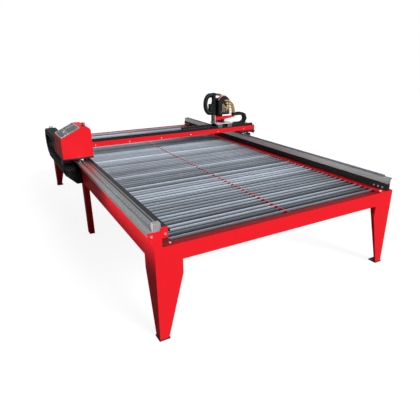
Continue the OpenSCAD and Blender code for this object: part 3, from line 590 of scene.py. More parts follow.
class Finishes:
    """Every finish, by the record's slot name or by a name of the scene's own."""

    def __init__(self) -> None:
        """Build one material from each recipe."""
        # Painted shade on the combs and the centre bar, where they are seen between the slats.
        combs = (LEFT_COMB_SHADE, CENTRE_SHADE, RIGHT_COMB_SHADE)
        recipes = [
            Paint("red_paint", (0.77, 0.013, 0.021), 0.38, 0.02, shine=0.05, dark_zones=(FLANGE_SHADE,)),
            Paint("dark_red_paint", (0.68, 0.010, 0.018), 0.40, 0.02, shine=0.05, dark_zones=combs),
            Paint("grey_paint", (0.58, 0.56, 0.57), 0.42, 0.1, dark_zones=(RAIL_HEIGHT_DARKENING,)),
            Paint("black_paint", (0.016, 0.016, 0.017), 0.40, 0.03, shine=0.15),
            Paint("black_guide", (0.012, 0.012, 0.014), 0.40, 0.02, shine=0.15),
            Paint("foot_steel", (0.10, 0.012, 0.013), 0.5, 0.0),
            Galvanised("galvanised_steel", (0.70, 0.78, 0.88), 0.054, -1.755),
            # Painted shade on the rails: the left rail's inner edge, and the right rail towards the front.
            Metal("rail_aluminium", (0.62, 0.62, 0.61), 0.42, painted_shade=PaintedShade(Axis.X, 0.55, -0.97, -1.03)),
            Metal("rail_steel", (0.95, 0.95, 0.94), 0.50, painted_shade=PaintedShade(Axis.Y, 0.36, -1.85, -0.2)),
            Metal("guide_steel", (0.40, 0.41, 0.43), 0.30),
            Metal("rack_steel", (0.44, 0.44, 0.43), 0.42, Axis.Y, 0.8),
            Metal("zinc_bolts", (0.86, 0.83, 0.80), 0.30, Axis.Z),
            Metal("slide_aluminium", (0.66, 0.67, 0.69), 0.34, Axis.Z),
            Plastic("chain_nylon", (0.011, 0.011, 0.012), 0.46, shine=0.18),
            Paint("motor_blue", (0.018, 0.028, 0.075), 0.36, 0.2),
            Paint("motor_black", (0.016, 0.016, 0.018), 0.36, 0.2),
            Plastic("panel_grey", (0.16, 0.165, 0.17), 0.38),
            Screen("screen_glass"),
            Plastic("estop_dark", (0.22, 0.004, 0.008), 0.25),
            Plastic("estop_red", (0.52, 0.006, 0.014), 0.22),
            Plastic("torch_plastic", (0.80, 0.66, 0.24), 0.4),
            Metal("nozzle_brass", (0.86, 0.70, 0.48), 0.28, Axis.Z),
            Plastic("conduit_rubber", (0.010, 0.010, 0.011), 0.40, shine=0.28),
            Plastic("lead_rubber", (0.64, 0.48, 0.20), 0.42, sleeve=0.764),
            Plastic("lead_tan", (0.52, 0.42, 0.28), 0.4),
            Plastic("lead_pink", (0.80, 0.20, 0.30), 0.4),
            Plastic("lead_brown", (0.16, 0.10, 0.06), 0.4),
            Plastic("lead_blue", (0.10, 0.16, 0.42), 0.4),
            Plastic("label_white", (0.82, 0.83, 0.84), 0.4),
            Plastic("key_dark", (0.08, 0.085, 0.10), 0.4),
            Metal("bezel_silver", (0.80, 0.81, 0.82), 0.3, Axis.Y),
        ]
        self.by_slot = {recipe.name: recipe.build() for recipe in recipes}

    def dress_frame(self) -> int:
        """Put the finishes on the CAD nodes.

        Returns:
            How many nodes were dressed.
        """
        slots = {entry["node"]: entry["material_slot"] for entry in frame["record"]["subparts"]}
        for name, node in frame["nodes"].items():
            node.data.materials.clear()
            node.data.materials.append(self.by_slot[slots[name]])
        return len(slots)


@dataclass
class Shape:
    """Points and faces of one piece, before it becomes an object."""

    points: np.ndarray
    faces: list[list[int]]

    def __add__(self, other: "Shape") -> "Shape":
        """Return both shapes as one, with the other's points and faces after these."""
        later = [[index + len(self.points) for index in face] for face in other.faces]
        return Shape(np.vstack([self.points, other.points]), self.faces + later)

    @staticmethod
    def join(shapes: list["Shape"]) -> "Shape":
        """Return many shapes as one, in their order."""
        return sum(shapes, Shape(np.zeros((0, 3)), []))

    def moved(self, matrix: Matrix) -> "Shape":
        """Return a copy that is turned and shifted by a matrix."""
        table = np.array(matrix, float)
        return Shape(self.points @ table[:3, :3].T + table[:3, 3], [list(face) for face in self.faces])

    def copies(self, matrices: list[Matrix]) -> "Shape":
        """Repeat the shape.

        Args:
            matrices: turn and shift of each copy.

        Returns:
            One shape that holds all copies.
        """
        tables = np.array([np.array(matrix, float) for matrix in matrices])
        turned = np.einsum("kij,nj->kni", tables[:, :3, :3], self.points) + tables[:, None, :3, 3]
        count = len(self.points)
        faces = [[index + k * count for index in face] for k in range(len(matrices)) for face in self.faces]
        return Shape(turned.reshape(-1, 3), faces)


class Forms:
    """Basic forms as arrays of points."""

    @staticmethod
    def grid(points: np.ndarray) -> Shape:
        """Close a surface over rows of points.

        Args:
            points: rows by columns by three; each row closes on itself.

        Returns:
            The surface; neighbours in rows and columns share a quad, and both end rows are filled.
        """
        rows, columns = points.shape[:2]
        index = np.arange(rows * columns).reshape(rows, columns)
        after = np.roll(index, -1, axis=1)
        quads = np.stack([index[:-1], after[:-1], after[1:], index[1:]], axis=-1).reshape(-1, 4).tolist()
        return Shape(points.reshape(-1, 3), quads + [index[0][::-1].tolist(), index[-1].tolist()])

    @staticmethod
    def prism(outline: np.ndarray, low: float, high: float) -> Shape:
        """Return a prism between two heights over an outline that runs counter-clockwise."""
        rows = [np.column_stack([outline, np.full(len(outline), z)]) for z in (low, high)]
        return Forms.grid(np.array(rows))

    @staticmethod
    def block(low: Triple, high: Triple, edge: float = 0.0) -> Shape:
        """Make a box with chamfered upright edges.

        Args:
            low: lowest corner.
            high: highest corner.
            edge: width of the chamfer.

        Returns:
            The closed box.
        """
        (x0, y0, z0), (x1, y1, z1) = low, high
        if edge <= 0:
            outline = np.array([[x0, y0], [x1, y0], [x1, y1], [x0, y1]])
        else:
            outline = np.array([[x0 + edge, y0], [x1 - edge, y0], [x1, y0 + edge], [x1, y1 - edge],
                                [x1 - edge, y1], [x0 + edge, y1], [x0, y1 - edge], [x0, y0 + edge]])
        return Forms.prism(outline, z0, z1)

    @staticmethod
    def turned(profile: list[Pair], sides: int) -> Shape:
        """Make a round piece about Z.

        Args:
            profile: radius and height pairs from bottom to top.
            sides: points round the axis.

        Returns:
            The closed piece; the point at angle a is radius times cosine and sine of a.
        """
        table = np.array(profile, float)
        angle = np.linspace(0, 2 * math.pi, sides, endpoint=False)
        ring = np.stack([np.cos(angle), np.sin(angle)], axis=-1)
        flat = table[:, 0][:, None, None] * ring[None]
        height = np.broadcast_to(table[:, 1][:, None, None], (len(table), sides, 1))
        return Forms.grid(np.concatenate([flat, height], axis=-1))

    @staticmethod
    def hose(path: np.ndarray, radius: np.ndarray | float, sides: int) -> Shape:
        """Make a tube along a path that lies in, or close to, an upright plane across the table.

        Args:
            path: points by three.
            radius: one radius, or the radius at each point.
            sides: points round the tube.

        Returns:
            The closed tube; each ring lies along Y and square to the path's X and Z.
        """
        ahead = np.gradient(path, axis=0)
        ahead = ahead / np.linalg.norm(ahead, axis=1, keepdims=True)
        across = np.stack([-ahead[:, 2], np.zeros(len(path)), ahead[:, 0]], axis=-1)
        angle = np.linspace(0, 2 * math.pi, sides, endpoint=False)
        side = across[:, None, :] * np.cos(angle)[None, :, None]
        deep = np.array([0.0, 1.0, 0.0])[None, None, :] * np.sin(angle)[None, :, None]
        radii = np.broadcast_to(radius, len(path))
        return Forms.grid(path[:, None, :] + radii[:, None, None] * (side + deep))

    @staticmethod
    def flat_hose(x: np.ndarray, y: float, z: np.ndarray, radius: np.ndarray | float, sides: int) -> Shape:
        """Return a tube along a path in one upright plane across the table."""
        return Forms.hose(np.column_stack([x, np.full(len(x), y), z]), radius, sides)


class Placer:
    """Turns shapes into objects that ride on the CAD bodies."""

    def __init__(self, finishes: Finishes) -> None:
        """Keep the finishes and start the count of pieces."""
        self.finishes = finishes
        self.count = 0

    def put(self, name: str, shape: Shape, slot: str, body: str | None,
            smooth: bool = False) -> bpy.types.Object:
        """Make one object.

        Args:
            name: object name.
            shape: its points and faces.
            slot: finish, and the record's slot if it is one.
            body: CAD body it rides on, or None when it is blended later.
            smooth: whether the faces are shaded smooth where they meet at a flat angle.

        Returns:
            The object, at the origin.
        """
        mesh = bpy.data.meshes.new(name)
        mesh.from_pydata(shape.points.tolist(), [], shape.faces)
        mesh.validate()
        mesh.materials.append(self.finishes.by_slot[slot])
        made = bpy.data.objects.new(name, mesh)
        bpy.context.scene.collection.objects.link(made)
        if smooth:
            mesh.shade_smooth()
            mesh.set_sharp_from_angle(angle=SMOOTH_ANGLE)
        if slot in {entry["slot"] for entry in frame["record"]["materials"]}:
            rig.slot(made, slot)
        if body is not None:
            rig.ride(made, body)
        self.count += 1
        LOG.info("%s: %d faces, on %s", name, len(shape.faces), body or "two bodies")
        return made


def shift(x: float, y: float, z: float) -> Matrix:
    """Return a matrix that only shifts."""
    return Matrix.Translation((x, y, z))


def turn(degrees: float, axis: Axis) -> Matrix:
    """Return a matrix that only turns, about an axis through the origin."""
    return Matrix.Rotation(math.radians(degrees), 4, axis.name)


@dataclass
class Group:
    """Sub-assembly whose pieces one placer makes."""

    placer: Placer


@dataclass
class DragChain(Group):
    """Cable chain of separate links: a lower run, a half-turn and an upper run.

    Parts, bodies and links go from the lower run over the bend to the upper run. Centre is the middle of
    the lower run's last pivot, where the bend starts, and end is the length of a run's end block.
    """

    name: str
    parts: tuple[str, str, str]
    bodies: tuple[str, str, str]
    run: Axis
    pitch: float
    links: tuple[int, int, int]
    height: float
    width: float
    centre: Triple
    end: float
    cheek: float = 0.005
    gap: float = 0.0005
    lid: float = 0.0018

    @property
    def radius(self) -> float:
        """Radius through the bend's pivots, whose links are chords of half a circle."""
        return self.pitch / (2 * math.sin(math.pi / (2 * self.links[1])))

    @property
    def web(self) -> float:
        """Length of a link between its neighbours' round ends."""
        return self.pitch - self.height - 0.003

    def side(self) -> Shape:
        """Make one side of a link: an outer cheek, an inner one the other way round, and a pin's cap.

        One end of a cheek is half a circle about the pivot, and its other end is square.

        Returns:
            The side, with the link along X.
        """
        pivot, top, wall = self.pitch / 2, self.height / 2, -self.width / 2
        bow = top - 0.001
        angle = np.linspace(-math.pi / 2, math.pi / 2, 14)
        arc = np.column_stack([pivot + bow * np.cos(angle), bow * np.sin(angle)])
        square, shoulder = -self.web / 2, pivot - 0.004
        outline = np.vstack([[square, -top], [shoulder, -top], arc, [shoulder, top], [square, top]])
        upright = turn(90, Axis.X)
        outer = Forms.prism(outline, wall, wall + self.cheek).moved(upright)
        inside = wall + self.cheek + self.gap
        mirrored = (outline * [-1, 1])[::-1]
        inner = Forms.prism(mirrored, inside, inside + self.cheek).moved(upright)
        wide, narrow, middle = 0.17 * self.height, 0.13 * self.height, 0.05 * self.height
        cap = Forms.turned([(wide, 0.0), (wide, 0.0012), (narrow, 0.0018), (middle, 0.0018)], 20)
        return outer + inner + cap.moved(upright @ shift(pivot, 0, wall) @ turn(180, Axis.X))

    def bars(self) -> Shape:
        """Make a link's two cross bars, the lids on them, and the flaps that close it above and below.

        Returns:
            Bars, lids and flaps.
        """
        top, half = self.height / 2, self.width / 2
        made = []
        for low, high, share, inset in (
            (-top - 0.0006, -top + 0.004, 0.27, self.cheek),
            (top - 0.004, top + 0.0006, 0.27, self.cheek),
            (top, top + self.lid, 0.16, 3 * self.cheek),
            (-top - self.lid, -top, 0.16, 3 * self.cheek),
        ):
            reach = share * self.pitch
            made.append(Forms.block((-reach, -half + inset, low), (reach, half - inset, high), 0.002))
        edge = half - 2.2 * self.cheek
        near, far = 0.10 * self.pitch, 0.80 * self.pitch
        flap = Forms.block((near, -edge, -top + 0.0045), (far, edge, -top + 0.0065))
        flaps = flap + flap.moved(turn(180, Axis.Z))
        return Shape.join(made) + flaps + flaps.moved(turn(180, Axis.X))

    def ribs(self) -> Shape:
        """Make the flat ribs on the outside of a link's cheeks.

        Returns:
            Both ribs.
        """
        reach, rise, half = self.web / 2 + 0.001, 0.36 * self.height, 0.0008
        places = [face * (self.width / 2 + 0.0006) for face in (-1, 1)]
        return Shape.join([Forms.block((-reach, y - half, -rise), (reach, y + half, rise)) for y in places])

    def link(self) -> Shape:
        """Return one link along X, about its middle."""
        side = self.side()
        return side + side.moved(turn(180, Axis.X)) + self.bars() + self.ribs()

    def along(self) -> Matrix:
        """Return the matrix that lays X along the run and puts the origin where the bend starts."""
        return Matrix.Translation(self.centre) @ turn(90 if self.run is Axis.Y else 0, Axis.Z)

    def straight(self, count: int, height: float, flip: float) -> list[Matrix]:
        """Return places of links up to the bend, at a height over the lower run, flipped by degrees."""
        offsets = [(k + 0.5 - count) * self.pitch for k in range(count)]
        return [self.along() @ shift(x, 0, height) @ turn(flip, Axis.Y) for x in offsets]

    def end_block(self, count: int, height: float) -> Shape:
        """Make the block that ties a run's last link to what it follows.

        Args:
            count: links in the run.
            height: height over the lower run.

        Returns:
            The block with its ear.
        """
        top, half, x = self.height / 2 - 0.002, self.width / 2, -count * self.pitch
        outer = x - self.end
        block = Forms.block((outer, -half + 0.006, -top), (x + 0.016, half - 0.006, top), 0.003)
        rise = 0.22 * self.height
        ear = Forms.block((outer, -half + 0.003, -rise), (x - self.end / 2, half - 0.003, rise), 0.002)
        return (block + ear).moved(self.along() @ shift(0, 0, height))

    def build(self) -> None:
        """Make the two runs and the bend, and tie the runs between the bodies they join."""
        link = self.link()
        low, mid, top = self.links
        step = 180 / mid
        pivot = self.along() @ shift(0, 0, self.radius)
        drop = shift(0, 0, -self.radius * math.cos(math.radians(step / 2)))
        bend = [pivot @ turn(-(k + 0.5) * step, Axis.Y) @ drop for k in range(mid)]
        rise = 2 * self.radius
        below = link.copies(self.straight(low, 0, 0)) + self.end_block(low, 0)
        lower = self.placer.put(f"{self.name}_lower_look", below, "chain_nylon", None)
        turned = self.placer.put(f"{self.name}_bend_look", link.copies(bend), "chain_nylon", self.bodies[1])
        above = link.copies(self.straight(top, rise, 180)) + self.end_block(top, rise)
        upper = self.placer.put(f"{self.name}_upper_look", above, "chain_nylon", None)
        bend_at = np.array(self.centre)
        ahead = np.array([1.0, 0, 0] if self.run is Axis.X else [0, 1.0, 0])
        fixed, moving = bend_at - ahead * low * self.pitch, bend_at - ahead * top * self.pitch
        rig.blend(lower, self.bodies[0], self.bodies[2], start=tuple(fixed), end=tuple(2 * bend_at - fixed))
        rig.blend(upper, self.bodies[0], self.bodies[2], start=tuple(2 * bend_at - moving), end=tuple(moving))
        for made, part in zip((lower, turned, upper), self.parts):
            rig.replaces(made, part)


@dataclass(frozen=True)
class Spray:
    """Loose wires: the first one's four control points, and how far each moves from wire to wire."""

    points: np.ndarray
    steps: np.ndarray
    radius: float
    samples: int
    sides: int
    zigzag: float = 0.0

    def shape(self, picks: range) -> Shape:
        """Make the picked wires, each a cubic curve: Bernstein weights times its control points.

        Args:
            picks: numbers of the wires; every other one ends higher by the zigzag.

        Returns:
            The wires as one shape.
        """
        t = np.linspace(0.0, 1.0, self.samples)[:, None]
        wires = []
        for k in picks:
            start, leave, arrive, stop = self.points + k * self.steps
            stop[Axis.Z.value] += self.zigzag * (k % 2)
            path = ((1 - t) ** 3 * start + 3 * (1 - t) ** 2 * t * leave
                    + 3 * (1 - t) * t ** 2 * arrive + t ** 3 * stop)
            wires.append(Forms.hose(path, self.radius, self.sides))
        return Shape.join(wires)


@dataclass
class Hoses(Group):
    """Corrugated conduit beside the lifter, the torch's leads, and loose wires on the lifter's cover.

    Swell is how much fuller the conduit's crests are than the CAD's tube, and bulge is how far its loop
    stands out from its straight ends. Cover is the centre of the cover's dome, across the table and up.
    """

    conduit_r: float = 0.021
    swell: float = 0.005
    groove: float = 0.0036
    rib: float = 0.0075
    straight: float = 0.040
    bulge: float = 0.060
    lead_r: float = 0.006
    lead_gap: float = 0.001
    cover: Pair = (0.772, 1.142)
    cover_r: float = 0.074
    cable_r: float = 0.0046

    def conduit(self) -> Shape:
        """Make the conduit: half an ellipse between two straight ends, with ribs as a rounded wave.

        Returns:
            The conduit.
        """
        low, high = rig.box("torch_conduit")
        foot, head = low.z + self.conduit_r, high.z - self.conduit_r
        wall = high.x
        bend = wall - self.straight
        angle = np.linspace(-math.pi / 2, -1.5 * math.pi, 500)
        leave = np.linspace(wall, bend, 60, endpoint=False)
        arrive = np.linspace(bend, wall, 90)[1:]
        x = np.concatenate([leave, bend + self.bulge * np.cos(angle), arrive])
        loop = (foot + head) / 2 + (head - foot) / 2 * np.sin(angle)
        z = np.concatenate([np.full(len(leave), foot), loop, np.full(len(arrive), head)])
        along = np.concatenate([[0.0], np.cumsum(np.hypot(np.diff(x), np.diff(z)))])
        wave = np.sqrt(np.abs(np.cos(math.pi * along / self.rib)))
        radii = self.conduit_r + self.swell - self.groove * (1 - wave)
        return Forms.flat_hose(x, (low.y + high.y) / 2, z, radii, 28)

    def lead(self, row: int, side: int) -> Shape:
        """Make one lead: a quarter ellipse from the chain's end up and over to the gland.

        Args:
            row: 0 for the outer bend, 1 for the inner one.
            side: 0 for the front, 1 for the back.

        Returns:
            The lead.
        """
        low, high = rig.box("torch_leads")
        pitch = 2 * self.lead_r + self.lead_gap
        inset = self.lead_r + row * pitch
        outer, top, base = high.x - inset, high.z - inset, low.z + 0.014
        angle = np.linspace(0, math.pi / 2, 48)
        x = np.append(outer, low.x + (outer - low.x) * np.cos(angle))
        z = np.append(low.z, base + (top - base) * np.sin(angle))
        return Forms.flat_hose(x, low.y + self.lead_r + side * pitch, z, self.lead_r, 20)

    def wires(self) -> Shape:
        """Make the thin wires that are tied along the front of the lifter's cover, each a flat arc.

        Returns:
            The wires.
        """
        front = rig.box("lifter_housing")[0].y - 0.003
        made = []
        for k in range(4):
            angle = np.radians(np.linspace(60 - 12 * k, -60 + 8 * k, 36))
            x = self.cover[0] + 0.004 * k + (0.058 - 0.011 * k) * np.cos(angle)
            z = 1.105 - 0.006 * k + (0.060 - 0.006 * k) * np.sin(angle)
            made.append(Forms.flat_hose(x, front, z, 0.003, 10))
        return Shape.join(made)

    def tails(self) -> Shape:
        """Make short wires that hang down the cover's front.

        Returns:
            The wires.
        """
        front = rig.box("lifter_housing")[0].y
        points = np.array([[0.758, front - 0.002, 1.128], [0.734, front - 0.007, 1.105],
                           [0.760, front - 0.007, 1.060], [0.736, front - 0.002, 1.026]])
        steps = np.array([[0.006, 0, -0.008], [0.018, 0, -0.006], [0.013, 0, 0.004], [0.018, 0, 0]])
        return Spray(points, steps, radius=0.0027, samples=30, sides=10, zigzag=0.012).shape(range(5))

    def strands(self, picks: range) -> Shape:
        """Make loose strands from the cover's front to the chain's end.

        Args:
            picks: which strands, from the upper one.

        Returns:
            The strands.
        """
        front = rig.box("lifter_housing")[0].y
        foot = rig.box("torch_leads")[0].z
        points = np.array([[0.776, front - 0.004, 1.165], [0.850, front - 0.006, 1.175],
                           [0.938, 0.372, 1.130], [0.950, 0.390, foot]])
        steps = np.array([[0.008, 0, -0.017], [0.006, 0, -0.018], [-0.006, 0, -0.012], [-0.0022, 0.002, 0]])
        return Spray(points, steps, radius=0.0042, samples=40, sides=12).shape(picks)

    def rim(self, start: float, stop: float, y: float) -> Shape:
        """Make a cable that lies over the domed cover's edge.

        Args:
            start: first angle, in degrees from +X.
            stop: last angle.
            y: place along the table.

        Returns:
            The cable.
        """
        angle = np.radians(np.linspace(start, stop, 48))
        radius = self.cover_r + 0.0042
        x = self.cover[0] + radius * np.cos(angle)
        z = self.cover[1] + radius * np.sin(angle)
        return Forms.flat_hose(x, y, z, self.cable_r, 12)

    def build(self) -> None:
        """Make conduit and leads to stand for the CAD's plain ones, and add the cables round the cover."""
        put = self.placer.put
        conduit = put("conduit_look", self.conduit(), "conduit_rubber", "carriage", True)
        four = self.lead(1, 0) + self.lead(1, 1) + self.lead(0, 0) + self.lead(0, 1)
        leads = put("leads_look", four, "lead_rubber", "carriage", True)
        put("cover_wires", self.wires() + self.strands(range(0, 10, 2)), "lead_rubber", "carriage", True)
        put("cover_tails", self.tails(), "lead_tan", "carriage", True)
        put("cover_dark_wires", self.strands(range(1, 10, 2)), "lead_brown", "carriage", True)
        put("lead_pink", self.rim(160, 62, 0.356), "lead_pink", "carriage", True)
        put("lead_blue", self.rim(96, 8, 0.367), "lead_blue", "carriage", True)
        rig.replaces(conduit, "torch_conduit")
        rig.replaces(leads, "torch_leads")


@dataclass
class Fasteners(Group):
    """Caps in the guide rails' counterbores, and screws on the beam, end plates, strip and flanges."""

    cap_pitch: float = 0.06
    rail_half: float = 0.0075
    beam_pitch: float = 0.365
    beam_offset: float = 0.19
    beam_rise: float = 0.018
    plate_x: Pair = (-1.042, -0.958)
    plate_z: float = 0.733
    strip_start: float = -1.802
    strip_pitch: float = 0.04
    strip_z: float = 0.672
    flange_x: float = 0.920
    flange_y: float = 1.820

    @staticmethod
    def screw(radius: float, height: float) -> Shape:
        """Return a round head about Z, with a round socket of half its radius."""
        outside = [(radius, 0.0), (radius, 0.8 * height), (0.9 * radius, height), (0.5 * radius, height)]
        return Forms.turned(outside + [(0.49 * radius, 0.45 * height), (0.15 * radius, 0.4 * height)], 24)

    def rails(self) -> None:
        """Plug the guide rails' counterbores with pale caps, level with the rails' tops."""
        low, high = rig.box("guide_rails")
        count = int((high.y - low.y) // self.cap_pitch)
        rows = [(k - (count - 1) / 2) * self.cap_pitch for k in range(count)]
        sides = (low.x + self.rail_half, high.x - self.rail_half)
        places = [shift(x, y, high.z - 0.0030) for x in sides for y in rows]
        cap = Forms.turned([(0.0050, 0.0), (0.0050, 0.0026), (0.0044, 0.0029), (0.0008, 0.0029)], 20)
        self.placer.put("rail_caps", cap.copies(places), "label_white", "table", True)

    def beam(self) -> None:
        """Put the row of screws on the beam's front."""
        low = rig.box("gantry_beam")[0]
        rows = [(k - self.beam_offset) * self.beam_pitch for k in range(-2, 4)]
        places = [shift(x, low.y, low.z + self.beam_rise) @ turn(90, Axis.X) for x in rows]
        screws = self.screw(0.0075, 0.0055).copies(places)
        made = self.placer.put("beam_screws", screws, "zinc_bolts", "gantry", True)
        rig.replaces(made, "beam_bolts")

    def table(self) -> None:
        """Put screws on the left rail's end plates, in the right strip and on the aprons' flanges."""
        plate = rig.box("rail_end_plates")[0].y
        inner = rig.box("frame_bolts")[1].x
        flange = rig.box("front_apron")[1].z
        ends = (1, -1)
        places = [shift(x, end * plate, self.plate_z) @ turn(90 * end, Axis.X)
                  for end in ends for x in self.plate_x]
        places += [shift(inner, end * (self.strip_start + self.strip_pitch * k), self.strip_z)
                   @ turn(-90, Axis.Y) for end in ends for k in range(3)]
        places += [shift(side * self.flange_x, end * self.flange_y, flange)
                   for side in ends for end in ends]
        screws = self.screw(0.008, 0.006).copies(places)
        made = self.placer.put("frame_screws", screws, "zinc_bolts", "table", True)
        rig.replaces(made, "frame_bolts")

    def build(self) -> None:
        """Make the caps and every screw."""
        self.rails()
        self.beam()
        self.table()


@dataclass
class ControlBox(Group):
    """Bezel, keys, lamps and a blank tag on the control box's sloped panel.

    Foot is the height of the slope's lower edge over the box's floor, and top is the panel's face over
    the slope. Starts and steps are given up the slope, then along the table.
    """

    rise: float = 0.0920
    run: float = 0.191
    foot: float = 0.180
    margin: float = 0.010
    top: float = 0.006
    rim: float = 0.005
    border: float = 0.006
    key_start: Pair = (0.030, 0.036)
    key_step: Pair = (0.020, 0.0235)
    pad_step: Pair = (0.026, 0.028)
    pad_gap: float = 0.034

    def slope(self, low: Vector) -> Matrix:
        """Return the matrix that lays X up the slope and Y along the table, from the box's low corner."""
        angle = math.degrees(math.atan2(self.rise, self.run))
        return shift(low.x, low.y, low.z + self.foot) @ turn(-angle, Axis.Y)

    def ring(self, low: Pair, high: Pair, width: float, height: float) -> Shape:
        """Make four bars round a rectangle on the panel.

        Args:
            low: lower corner of the opening.
            high: upper corner of the opening.
            width: width of the bars.
            height: height of the bars.

        Returns:
            The bars.
        """
        (x0, y0), (x1, y1) = low, high
        base, top, chamfer = self.top, self.top + height, 0.001
        return (Forms.block((x0 - width, y0 - width, base), (x0, y1 + width, top), chamfer)
                + Forms.block((x1, y0 - width, base), (x1 + width, y1 + width, top), chamfer)
                + Forms.block((x0, y0 - width, base), (x1, y0, top))
                + Forms.block((x0, y1, base), (x1, y1 + width, top)))

    def build(self) -> None:
        """Make the screen's bezel, the panel's frame, the keys, the pads, the tag and the lamps."""
        put = self.placer.put
        low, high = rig.box("control_box")
        slope = self.slope(low)
        long, wide = math.hypot(self.rise, self.run), high.y - low.y
        corner = 2 * self.margin
        right = corner + 0.62 * wide
        screen = self.ring((0.42 * long, corner), (long - corner, right), self.rim, 0.002)
        edge = self.margin + self.border
        border = self.ring((edge, edge), (long - edge, wide - edge), self.border, 0.003)
        put("panel_bezel", (screen + border).moved(slope), "bezel_silver", "gantry")
        key = Forms.block((-0.0075, -0.0085, 0), (0.0075, 0.0085, 0.0028), 0.002)
        first_x, first_y = self.key_start
        step_x, step_y = self.key_step
        keys = [slope @ shift(first_x + step_x * row, first_y + step_y * column, self.top)
                for row in range(2) for column in range(9)]
        put("panel_keys", key.copies(keys), "key_dark", "gantry")
        pad_x, pad_y = self.pad_step
        columns = [right + self.pad_gap + pad_y * column for column in range(2)]
        pads = [slope @ shift(first_x + pad_x * row, y, self.top) for row in range(5) for y in columns]
        put("panel_pads", key.copies(pads), "key_dark", "gantry")
        tag = Forms.block((0.066, 0.46 * wide, self.top), (0.080, 0.56 * wide, self.top + 0.001))
        put("panel_tag", tag.moved(slope), "label_white", "gantry")
        lamp = Forms.turned([(0.006, 0.0), (0.006, 0.002), (0.004, 0.004), (0.001, 0.0046)], 20)
        lamps = [slope @ shift(long - 0.030, y, self.top) for y in columns]
        put("panel_lamps", lamp.copies(lamps), "estop_red", "gantry", True)


@dataclass
class Motors(Group):
    """Cable sockets under both gantry motors, and a blank label on the right one."""

    right_side: float = 0.072
    right_y: float = 0.290
    left_side: float = 0.057
    left_y: float = 0.150
    middle: float = 0.7275
    socket_in: float = 0.010
    label_in: float = 0.042

    def socket(self, x: float, y: float, side: float) -> Shape:
        """Return the socket under a motor whose width is side, about its place in X and Y."""
        base = self.middle - side / 2
        return Forms.block((x - 0.006, y - 0.012, base - 0.009), (x + 0.006, y + 0.012, base), 0.002)

    def build(self) -> None:
        """Make the label and the sockets."""
        low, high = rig.box("y_motors")
        x, front = high.x - self.label_in, self.right_y - self.right_side / 2
        label = Forms.block((x - 0.016, front - 0.0008, self.middle - 0.012),
                            (x + 0.016, front, self.middle + 0.014))
        self.placer.put("motor_labels", label, "label_white", "gantry")
        sockets = (self.socket(high.x - self.socket_in, self.right_y, self.right_side)
                   + self.socket(low.x + self.socket_in, self.left_y, self.left_side))
        self.placer.put("motor_sockets", sockets, "key_dark", "gantry")


@dataclass(frozen=True)
class Sun:
    """Broad light that shines from a place to the machine's middle."""

    name: str
    place: Triple
    degrees: float
    strength: float
    mirrored: bool = True


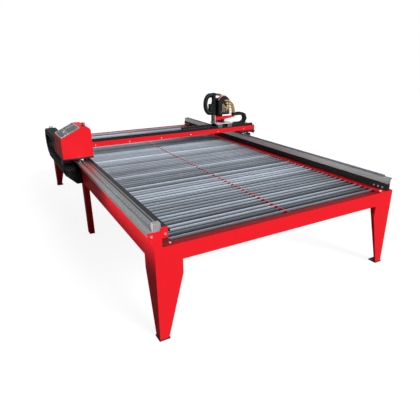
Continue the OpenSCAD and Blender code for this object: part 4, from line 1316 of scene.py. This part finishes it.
@dataclass
class Studio:
    """Camera fitted to the photograph, soft lights, pale floor and white surround."""

    place: Triple = (-1.722, -3.729, 1.685)
    yaw: float = 29.35
    pitch: float = 21.88
    roll: float = -0.33
    lens: float = 33.45
    suns: tuple[Sun, ...] = (
        Sun("key", (1.1, -3.6, 2.1), 26.0, 3.75),
        Sun("top", (0.2, 0.3, 5.0), 60.0, 0.7),
        Sun("back", (1.6, 3.4, 1.5), 40.0, 1.3, mirrored=False),
    )
    side_place: Triple = (-2.4, -1.65, 0.88)
    side_size: Pair = (1.7, 0.40)
    side_spread: float = 24.0
    side_power: float = 4.6
    floor_glow: float = 0.88
    floor_reach: float = 14.0

    @staticmethod
    def add(name: str, data: bpy.types.ID, matrix: Matrix) -> bpy.types.Object:
        """Link one object to the scene.

        Args:
            name: its name.
            data: camera, light or mesh.
            matrix: its place and turn.

        Returns:
            The object.
        """
        made = bpy.data.objects.new(name, data)
        bpy.context.scene.collection.objects.link(made)
        made.matrix_world = matrix
        return made

    def camera(self) -> None:
        """Make the camera: roll, tilt from straight down, then turn about Z."""
        data = bpy.data.cameras.new("camera")
        data.lens = self.lens
        data.sensor_width = 36.0
        data.clip_end = 60.0
        data.dof.use_dof = False
        aim = turn(-self.yaw, Axis.Z) @ turn(90 - self.pitch, Axis.X) @ turn(self.roll, Axis.Z)
        bpy.context.scene.camera = self.add("camera", data, Matrix.Translation(self.place) @ aim)

    def light(self) -> None:
        """Make the broad lights, and a weak light along the left side."""
        for sun in self.suns:
            data = bpy.data.lights.new(sun.name, "SUN")
            data.angle = math.radians(sun.degrees)
            data.energy = sun.strength
            aim = (-Vector(sun.place)).to_track_quat("-Z", "Y").to_matrix().to_4x4()
            made = self.add(sun.name, data, Matrix.Translation(sun.place) @ aim)
            made.visible_glossy = sun.mirrored
        data = bpy.data.lights.new("side", "AREA")
        data.shape = "RECTANGLE"
        data.size, data.size_y = self.side_size
        data.spread = math.radians(self.side_spread)
        data.energy = self.side_power
        to_the_right = Matrix(((0, 0, -1), (-1, 0, 0), (0, 1, 0))).to_4x4()
        self.add("side", data, Matrix.Translation(self.side_place) @ to_the_right)

    def surround(self) -> None:
        """Make the world: white to the camera, pale in mirror-like finishes, dim grey to all else."""
        world = bpy.data.worlds.new("surround")
        bpy.context.scene.world = world
        graph = Graph(world)
        soft = {"Color": (0.90, 0.93, 1.0, 1.0), "Strength": 0.10}
        mirror = {"Color": (0.93, 0.96, 1.0, 1.0), "Strength": 0.50}
        white = {"Color": WHITE, "Strength": 1.0}
        shown = graph.node("ShaderNodeBackground", {}, soft)
        for ray, inputs in (("Is Glossy Ray", mirror), ("Is Camera Ray", white)):
            share = graph.node("ShaderNodeLightPath", output=ray)
            other = graph.node("ShaderNodeBackground", {}, inputs)
            shown = graph.node("ShaderNodeMixShader", {}, {0: share, 1: shown, 2: other})
        graph.node("ShaderNodeOutputWorld", {}, {"Surface": shown})

    def floor(self) -> None:
        """Make the pale floor: to the camera it also glows, so it is white and keeps a faint shadow."""
        graph = Graph(bpy.data.materials.new("floor_white"))
        speck = graph.ramp(graph.noise(scale=1.2), (0.17, 0.17, 0.18), (0.20, 0.20, 0.20))
        pale = graph.node("ShaderNodeBsdfDiffuse", {}, {"Color": speck})
        glow = graph.node("ShaderNodeEmission", {}, {"Color": WHITE, "Strength": self.floor_glow})
        shown = graph.node("ShaderNodeAddShader", {}, {0: pale, 1: glow})
        seen = graph.node("ShaderNodeLightPath", output="Is Camera Ray")
        mixed = graph.node("ShaderNodeMixShader", {}, {0: seen, 1: pale, 2: shown})
        graph.node("ShaderNodeOutputMaterial", {}, {"Surface": mixed})
        reach = self.floor_reach
        corners = [(-reach, -reach, 0.0), (reach, -reach, 0.0), (reach, reach, 0.0), (-reach, reach, 0.0)]
        mesh = bpy.data.meshes.new("floor")
        mesh.from_pydata(corners, [], [[0, 1, 2, 3]])
        mesh.materials.append(graph.owner)
        made = self.add("floor", mesh, Matrix.Identity(4))
        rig.stage(made)

    def build(self) -> None:
        """Set the stage."""
        self.camera()
        self.light()
        self.surround()
        self.floor()
        bpy.context.scene.view_settings.view_transform = "Standard"


def chains(placer: Placer) -> list[DragChain]:
    """Size both drag chains as in the CAD.

    Args:
        placer: makes their objects.

    Returns:
        The chain beside the table and the chain on the beam.
    """
    table = DragChain(
        placer, "y_chain", ("y_chain_lower", "y_chain_bend", "y_chain_upper"),
        bodies=("table", "y_bend", "gantry"), run=Axis.Y, pitch=0.072, links=(13, 5, 9),
        height=0.062, width=0.104, centre=(-1.120, 0.952, 0.661), end=0.034,
    )
    beam = DragChain(
        placer, "x_chain", ("x_chain_lower", "x_chain_bend", "x_chain_upper"),
        bodies=("gantry", "x_bend", "carriage"), run=Axis.X, pitch=0.046, links=(17, 4, 2),
        height=0.036, width=0.057, centre=(1.052, 0.4135, 0.8695), end=0.030,
    )
    return [table, beam]


def main() -> None:
    """Build the looks in order and report."""
    logging.basicConfig(level=logging.INFO)
    finishes = Finishes()
    LOG.info("dressed %d nodes", finishes.dress_frame())
    placer = Placer(finishes)
    for group in (*chains(placer), Hoses(placer), Fasteners(placer), ControlBox(placer), Motors(placer)):
        group.build()
    Studio().build()
    LOG.info("placed %d pieces", placer.count)
    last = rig.bounds()
    with open(SIZE_FILE, "w") as handle:
        json.dump({"cad": [list(p) for p in FIRST_BOUNDS], "shown": [list(p) for p in last]}, handle)


if __name__ == "__main__":
    main()
